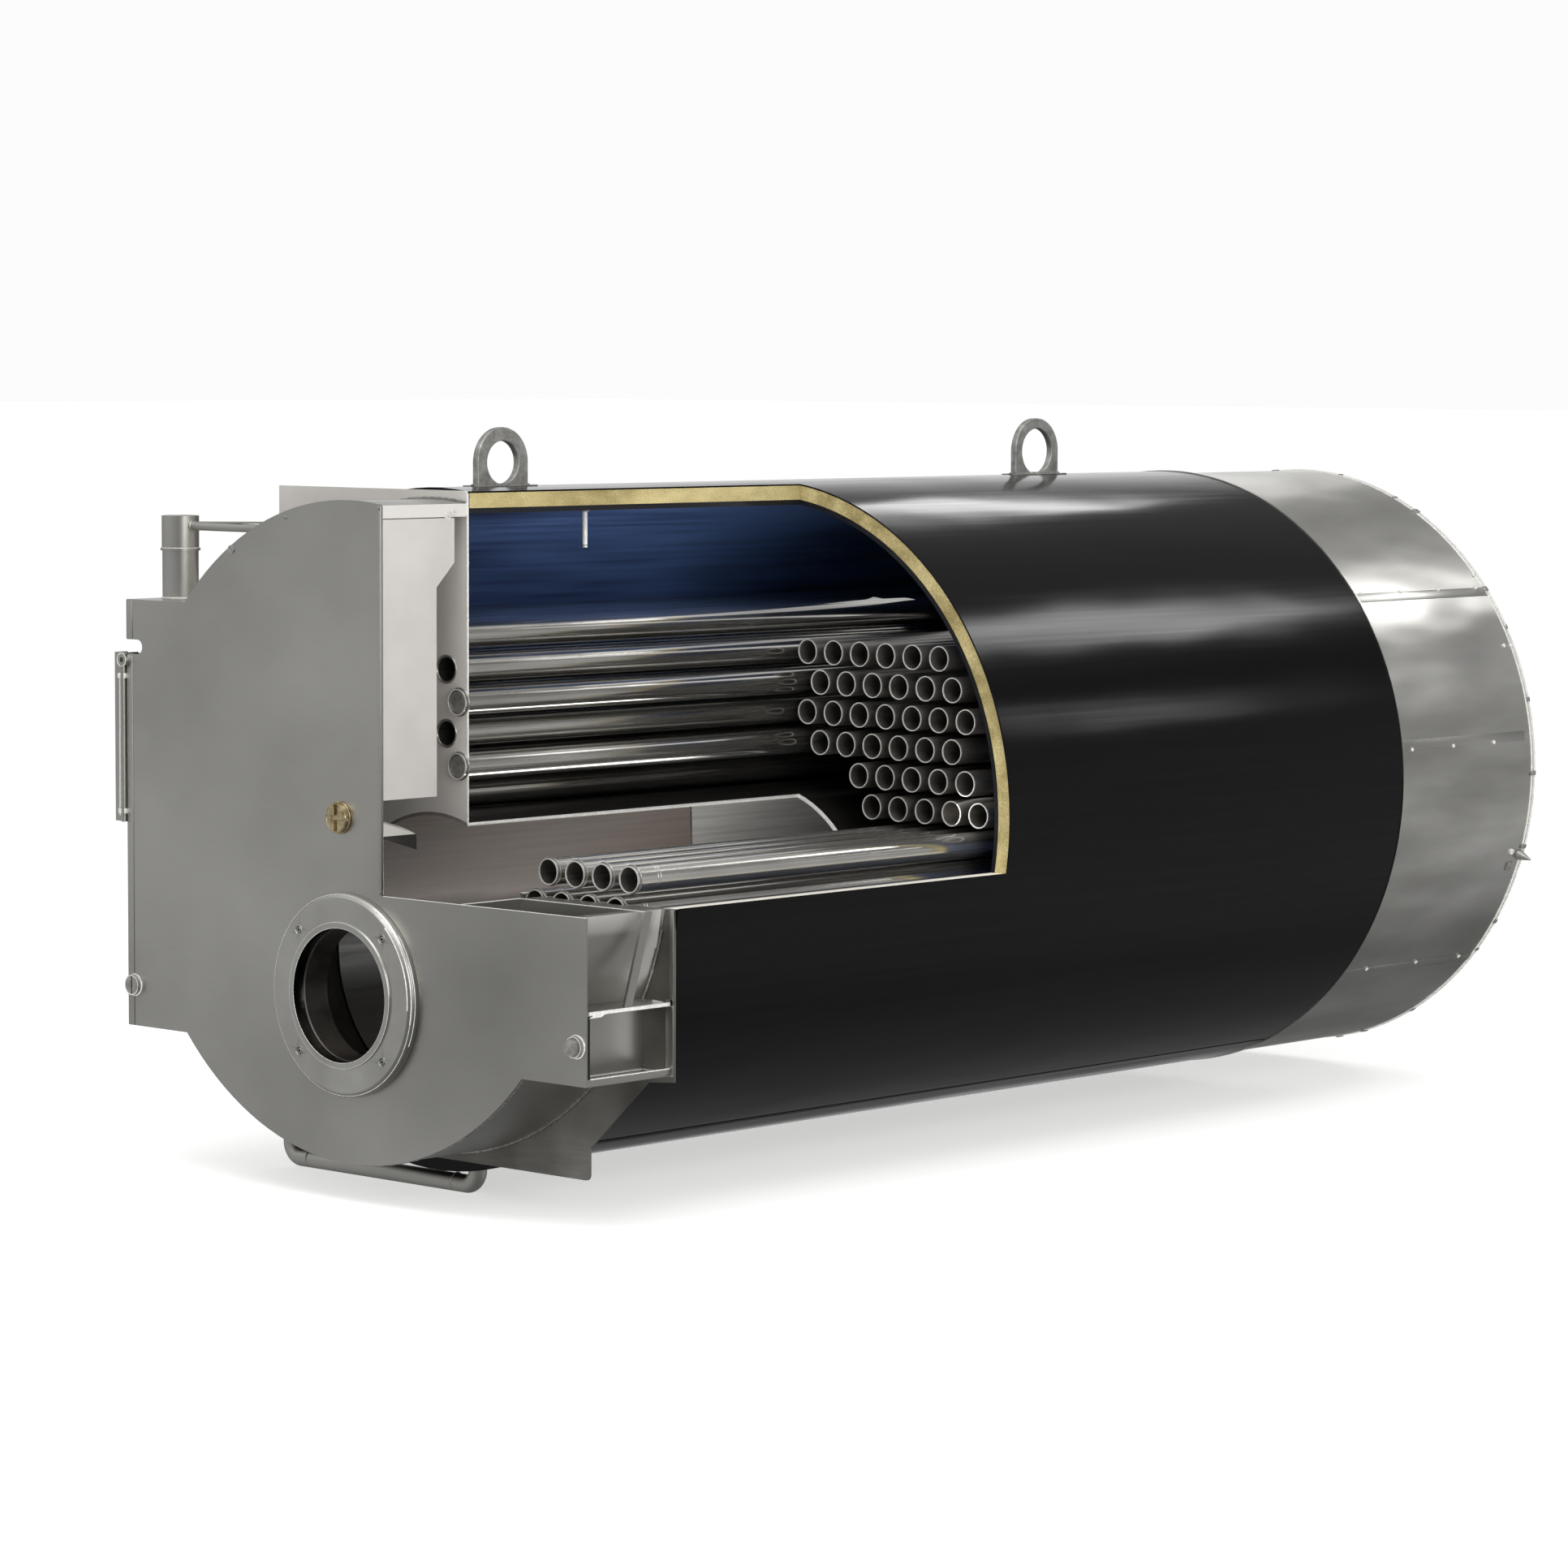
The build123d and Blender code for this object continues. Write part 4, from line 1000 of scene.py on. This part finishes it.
def rearEndPlate():
    e = endParts
    coverLow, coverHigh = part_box("cleanout_cover")
    flueLow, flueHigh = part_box("flue_collar")
    coverZ, flueZ = (coverLow.z + coverHigh.z) / 2, (flueLow.z + flueHigh.z) / 2
    bolts, flange, handle = bmesh.new(), bmesh.new(), bmesh.new()
    for i in range(e["bolts"]):
        turn = 2 * pi * (i + 0.5) / e["bolts"]
        place = at(e["boltCircle"] * cos(turn), rearEnd, axisZ + e["boltCircle"] * sin(turn))
        addScrew(bolts, place @ outRear, 0.009, 0.006, 0, 6)
        addRing(bolts, place, wireOutline(0.0115, 0.0012, 6), 20)
    for i in range(e["coverBolts"]):
        turn = 2 * pi * i / e["coverBolts"]
        addScrew(bolts, at(e["coverCircle"] * cos(turn), coverHigh.y,
                           coverZ + e["coverCircle"] * sin(turn)) @ outRear, 0.007, 0.005, 0, 6)
    flueRadius = (flueHigh.x - flueLow.x) / 2
    addRing(flange, at(0, rearEnd, flueZ),
            [(flueRadius - 0.001, -0.0005), (e["flangeRadius"], -0.0005),
             (e["flangeRadius"], 0.0035), (flueRadius + 0.003, 0.006)], 72)
    addRing(flange, at(0, flueHigh.y - 0.003, flueZ), wireOutline(flueRadius - 0.001, 0.0026), 72)
    addRing(flange, at(0, rearEnd + 0.055, flueZ), wireOutline(flueRadius, 0.0022), 72)
    reach = [(-0.045, coverHigh.y - 0.002, coverZ), (-0.045, coverHigh.y + 0.022, coverZ),
             (-0.036, coverHigh.y + 0.032, coverZ), (0.036, coverHigh.y + 0.032, coverZ),
             (0.045, coverHigh.y + 0.022, coverZ), (0.045, coverHigh.y - 0.002, coverZ)]
    addBead(handle, reach, 0.0055, sides=12)
    placePiece("end_bolts", bolts, finishes["lug_steel"])
    placePiece("flue_flange", flange, sheetFinish)
    placePiece("cover_handle", handle, highlightEdgeFinish)


rearJacket()
rearEndPlate()
print("rear jacket done")


# Vent, hinge and drain fittings
ventParts = {"plugAt": (0.045, 0.062), "plugRadius": 0.011, "wire": 0.0022, "rodRing": 0.0088}


def ventTrim():
    v = ventParts
    pipeLow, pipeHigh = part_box("vent_pipe")
    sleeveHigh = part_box("vent_sleeve")[1]
    rodLow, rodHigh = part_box("vent_rod")
    x, y = (pipeLow.x + pipeHigh.x) / 2, (pipeLow.y + pipeHigh.y) / 2
    radius = (pipeHigh.x - pipeLow.x) / 2
    upright = Matrix.Rotation(radians(90), 4, "X")
    rings, wire = bmesh.new(), bmesh.new()
    for z, ringRadius, thickness in ((pipeLow.z + 0.001, radius, 0.0020),
                                     (pipeHigh.z + 0.0050, radius + 0.0022, 0.0011),
                                     (sleeveHigh.z - 0.0014, radius - 0.0012, 0.0014)):
        addRing(rings, at(x, y, z) @ upright, wireOutline(ringRadius, thickness), 48)
    # a small plug in the box top beside the pipe
    plugX, plugY = v["plugAt"]
    addRing(rings, at(x + plugX, y + plugY, pipeLow.z + 0.001) @ upright,
            wireOutline(v["plugRadius"], 0.0022), 28)
    rodZ = (rodLow.z + rodHigh.z) / 2
    start, end = (x + radius, y, rodHigh.z - 0.001), (rodHigh.x, y, rodHigh.z + 0.006)
    addBead(wire, lineOf(start, end, 0.2), v["wire"])
    addRing(wire, at(x + radius + 0.002, y, rodZ) @ Matrix.Rotation(radians(90), 4, "Z"),
            wireOutline(v["rodRing"], 0.0018), 28)
    placePiece("vent_rings", rings, highlightEdgeFinish)
    placePiece("vent_wire", wire, groundFinish)


hingeParts = {"rod": 0.0022, "rodY": -0.0045, "low": 0.012, "high": 0.045, "strap": 0.010}


def hingeTrim():
    h = hingeParts
    pinLow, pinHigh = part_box("hinge_pin")
    channelLow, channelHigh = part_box("hinge_channel")
    rods = bmesh.new()
    x = (pinLow.x + pinHigh.x) / 2
    start = (x - 0.011, h["rodY"], channelLow.z + h["low"])
    end = (x - 0.009, h["rodY"], channelHigh.z - h["high"])
    addBead(rods, lineOf(start, end, 0.1), h["rod"])
    for z in (start[2] + 0.004, end[2] - 0.005):
        addBar(rods, (x - 0.014, -0.0080, z), (x + 0.006, -0.0005, z + h["strap"]), soft=0.0012)
    addRing(rods, at(x, (pinLow.y + pinHigh.y) / 2 - 0.0034, pinHigh.z - 0.014),
            wireOutline(0.0128, 0.0012), 32)
    placePiece("hinge_rods", rods, highlightEdgeFinish)


drainParts = {"inset": 0.075, "bead": 0.0013, "sunk": 0.0002,
              "lift": 0.0012}    # the beads are ground off underneath, where the loop rests


def drainTrim():
    d = drainParts
    loopLow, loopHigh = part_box("drain_loop")
    y, radius = (loopLow.y + loopHigh.y) / 2, (loopHigh.y - loopLow.y) / 2
    rings = bmesh.new()
    turned = Matrix.Rotation(radians(90), 4, "Z")
    for x in (loopLow.x + d["inset"], loopHigh.x - d["inset"]):
        addRing(rings, at(x, y, loopLow.z + radius + d["lift"]) @ turned,
                wireOutline(radius - d["sunk"], d["bead"]), 32)
    placePiece("drain_rings", rings, beadFinish)


ventTrim()
hingeTrim()
drainTrim()
print("fittings done")

# Stage: pale floor, soft boxes and camera
stageSettings = {"floorSize": 240.0, "floor": "#f6f6f5", "floorGlow": 0.6, "backdrop": "#fcfcfc"}


def layFloor():
    mesh = bmesh.new()
    bmesh.ops.create_grid(mesh, x_segments=4, y_segments=4, size=stageSettings["floorSize"] / 2,
                          matrix=at(0, 1.4, cadBox[0].z))
    data = bpy.data.meshes.new("floor")
    mesh.to_mesh(data)
    mesh.free()
    material, add, coords = startMaterial("paleFloor")
    data.materials.append(endMaterial(material, add, {
        "Base Color": stageSettings["floor"], "Roughness": 0.9,
        "Emission Color": stageSettings["floor"],
        "Emission Strength": stageSettings["floorGlow"]}))
    floor = bpy.data.objects.new("floor", data)
    floor.visible_glossy = False      # the boiler hangs clear of its surroundings' reflections
    bpy.context.scene.collection.objects.link(floor)


# brightness of the room in a direction: base, and lobes of (axis, from, to, added)
roomLight = {"base": 0.18, "lobes": (((-0.68, -0.72, 0.12), 0.1, 0.95, 0.27),
                                     ((0.0, -0.2, 1.0), 0.25, 1.0, 0.5),
                                     ((-0.66, 0.73, 0.07), 0.92, 1.0, 1.0),
                                     ((0.66, 0.70, -0.2), 0.82, 0.97, 0.24))}


def paintSky():
    world = bpy.data.worlds.new("studio")
    bpy.context.scene.world = world
    world.use_nodes = True
    world.node_tree.nodes.clear()
    add = partial(addNode, world.node_tree)
    direction = add("TexCoord").outputs["Generated"]
    total = roomLight["base"]
    for axis, start, end, added in roomLight["lobes"]:
        facing = add("VectorMath", (direction, Vector(axis).normalized()),
                     operation="DOT_PRODUCT")
        total = add("Math", (add("MapRange", (facing, start, end, 0.0, added)), total))
    room = add("Background", {"Color": "#ffffff", "Strength": total})
    seen = add("Background", {"Color": stageSettings["backdrop"], "Strength": 1.0})
    ray = add("LightPath").outputs["Is Camera Ray"]
    add("OutputWorld", {"Surface": add("MixShader", (ray, room, seen))})


middle = (cadBox[0] + cadBox[1]) / 2
softBoxes = {
    "rearTop": {"towards": (-0.37, 0.73, 0.56), "away": 8.0, "size": (1.2, 0.8), "power": 20},
    "rearRight": {"towards": (0.34, 0.73, 0.58), "away": 8.0, "size": (1.3, 1.2), "power": 45},
    "lowRight": {"towards": (0.60, 0.73, 0.31), "away": 8.0, "size": (0.6, 1.0), "power": 7},
    "overhead": {"towards": (0.2, -0.45, 0.87), "away": 7.0, "size": (5.0, 5.0), "power": 190},
    "frontRight": {"towards": (0.92, -0.35, 0.28), "away": 8.0, "size": (4.0, 4.0), "power": 180},
}
# lamps inside: soft ones that only light paint, and panels that only show in bright metal
innerLamps = {
    "steamSpace": {"spot": (0.04, 0.86, 0.76), "facing": (-1, 0, 0.1), "size": (0.5, 0.2),
                   "power": 0.34, "glossy": False, "diffuse": True},
    "shellSide": {"spot": (0.50, 1.17, 0.31), "facing": (1, 0.2, -0.1), "size": (0.2, 0.06),
                  "power": 0.35, "glossy": False, "diffuse": True},
    "furnaceGlow": {"spot": (0.15, 0.82, 0.02), "facing": (-0.8, 0, 0.6), "size": (0.8, 0.12),
                    "power": 1.8, "glossy": True, "diffuse": True},
    "stripRear": {"spot": (0.02, 1.30, 0.80), "facing": (0.1, -0.3, -1), "size": (0.1, 0.9),
                  "power": 0.16, "glossy": True, "diffuse": False},
    "stripRight": {"spot": (0.25, 1.27, 0.76), "facing": (0.1, -0.3, -1), "size": (0.1, 0.95),
                   "power": 0.25, "glossy": True, "diffuse": False},
    "boxGlint": {"spot": (0.598, 0.214, 0.05), "facing": (-0.3, -1, 0), "size": (0.04, 0.28),
                 "power": 0.02, "glossy": True, "diffuse": False},
}


def addLamp(name, spot, facing, size, power):
    lamp = bpy.data.lights.new(name, "AREA")
    lamp.shape = "RECTANGLE"
    lamp.size, lamp.size_y = size
    lamp.energy = power
    holder = bpy.data.objects.new(name, lamp)
    holder.location = spot
    holder.rotation_euler = (-Vector(facing)).to_track_quat("Z", "Y").to_euler()
    holder.visible_camera = False
    bpy.context.scene.collection.objects.link(holder)
    return holder


def hangLights():
    for name, box in softBoxes.items():
        towards = Vector(box["towards"]).normalized()
        addLamp(name, middle + towards * box["away"], -towards, box["size"], box["power"])
    for name, lamp in innerLamps.items():
        holder = addLamp(name, lamp["spot"], lamp["facing"], lamp["size"], lamp["power"])
        holder.visible_glossy, holder.visible_diffuse = lamp["glossy"], lamp["diffuse"]


cameraSettings = {"place": (7.1527, -6.5301, 1.1984), "turn": 42.793, "pitch": 4.738,
                  "roll": 0.238, "lens": 119.28}


def setCamera():
    s = cameraSettings
    data = bpy.data.cameras.new("camera")
    data.lens, data.sensor_width, data.clip_end = s["lens"], 36.0, 400.0
    camera = bpy.data.objects.new("camera", data)
    camera.matrix_world = (at(*s["place"]) @ Matrix.Rotation(radians(s["turn"]), 4, "Z")
                           @ Matrix.Rotation(radians(90 - s["pitch"]), 4, "X")
                           @ Matrix.Rotation(radians(s["roll"]), 4, "Z"))
    bpy.context.scene.collection.objects.link(camera)
    bpy.context.scene.camera = camera


layFloor()
paintSky()
hangLights()
setCamera()
bpy.context.scene.view_settings.view_transform = "Standard"
print("stage ready")
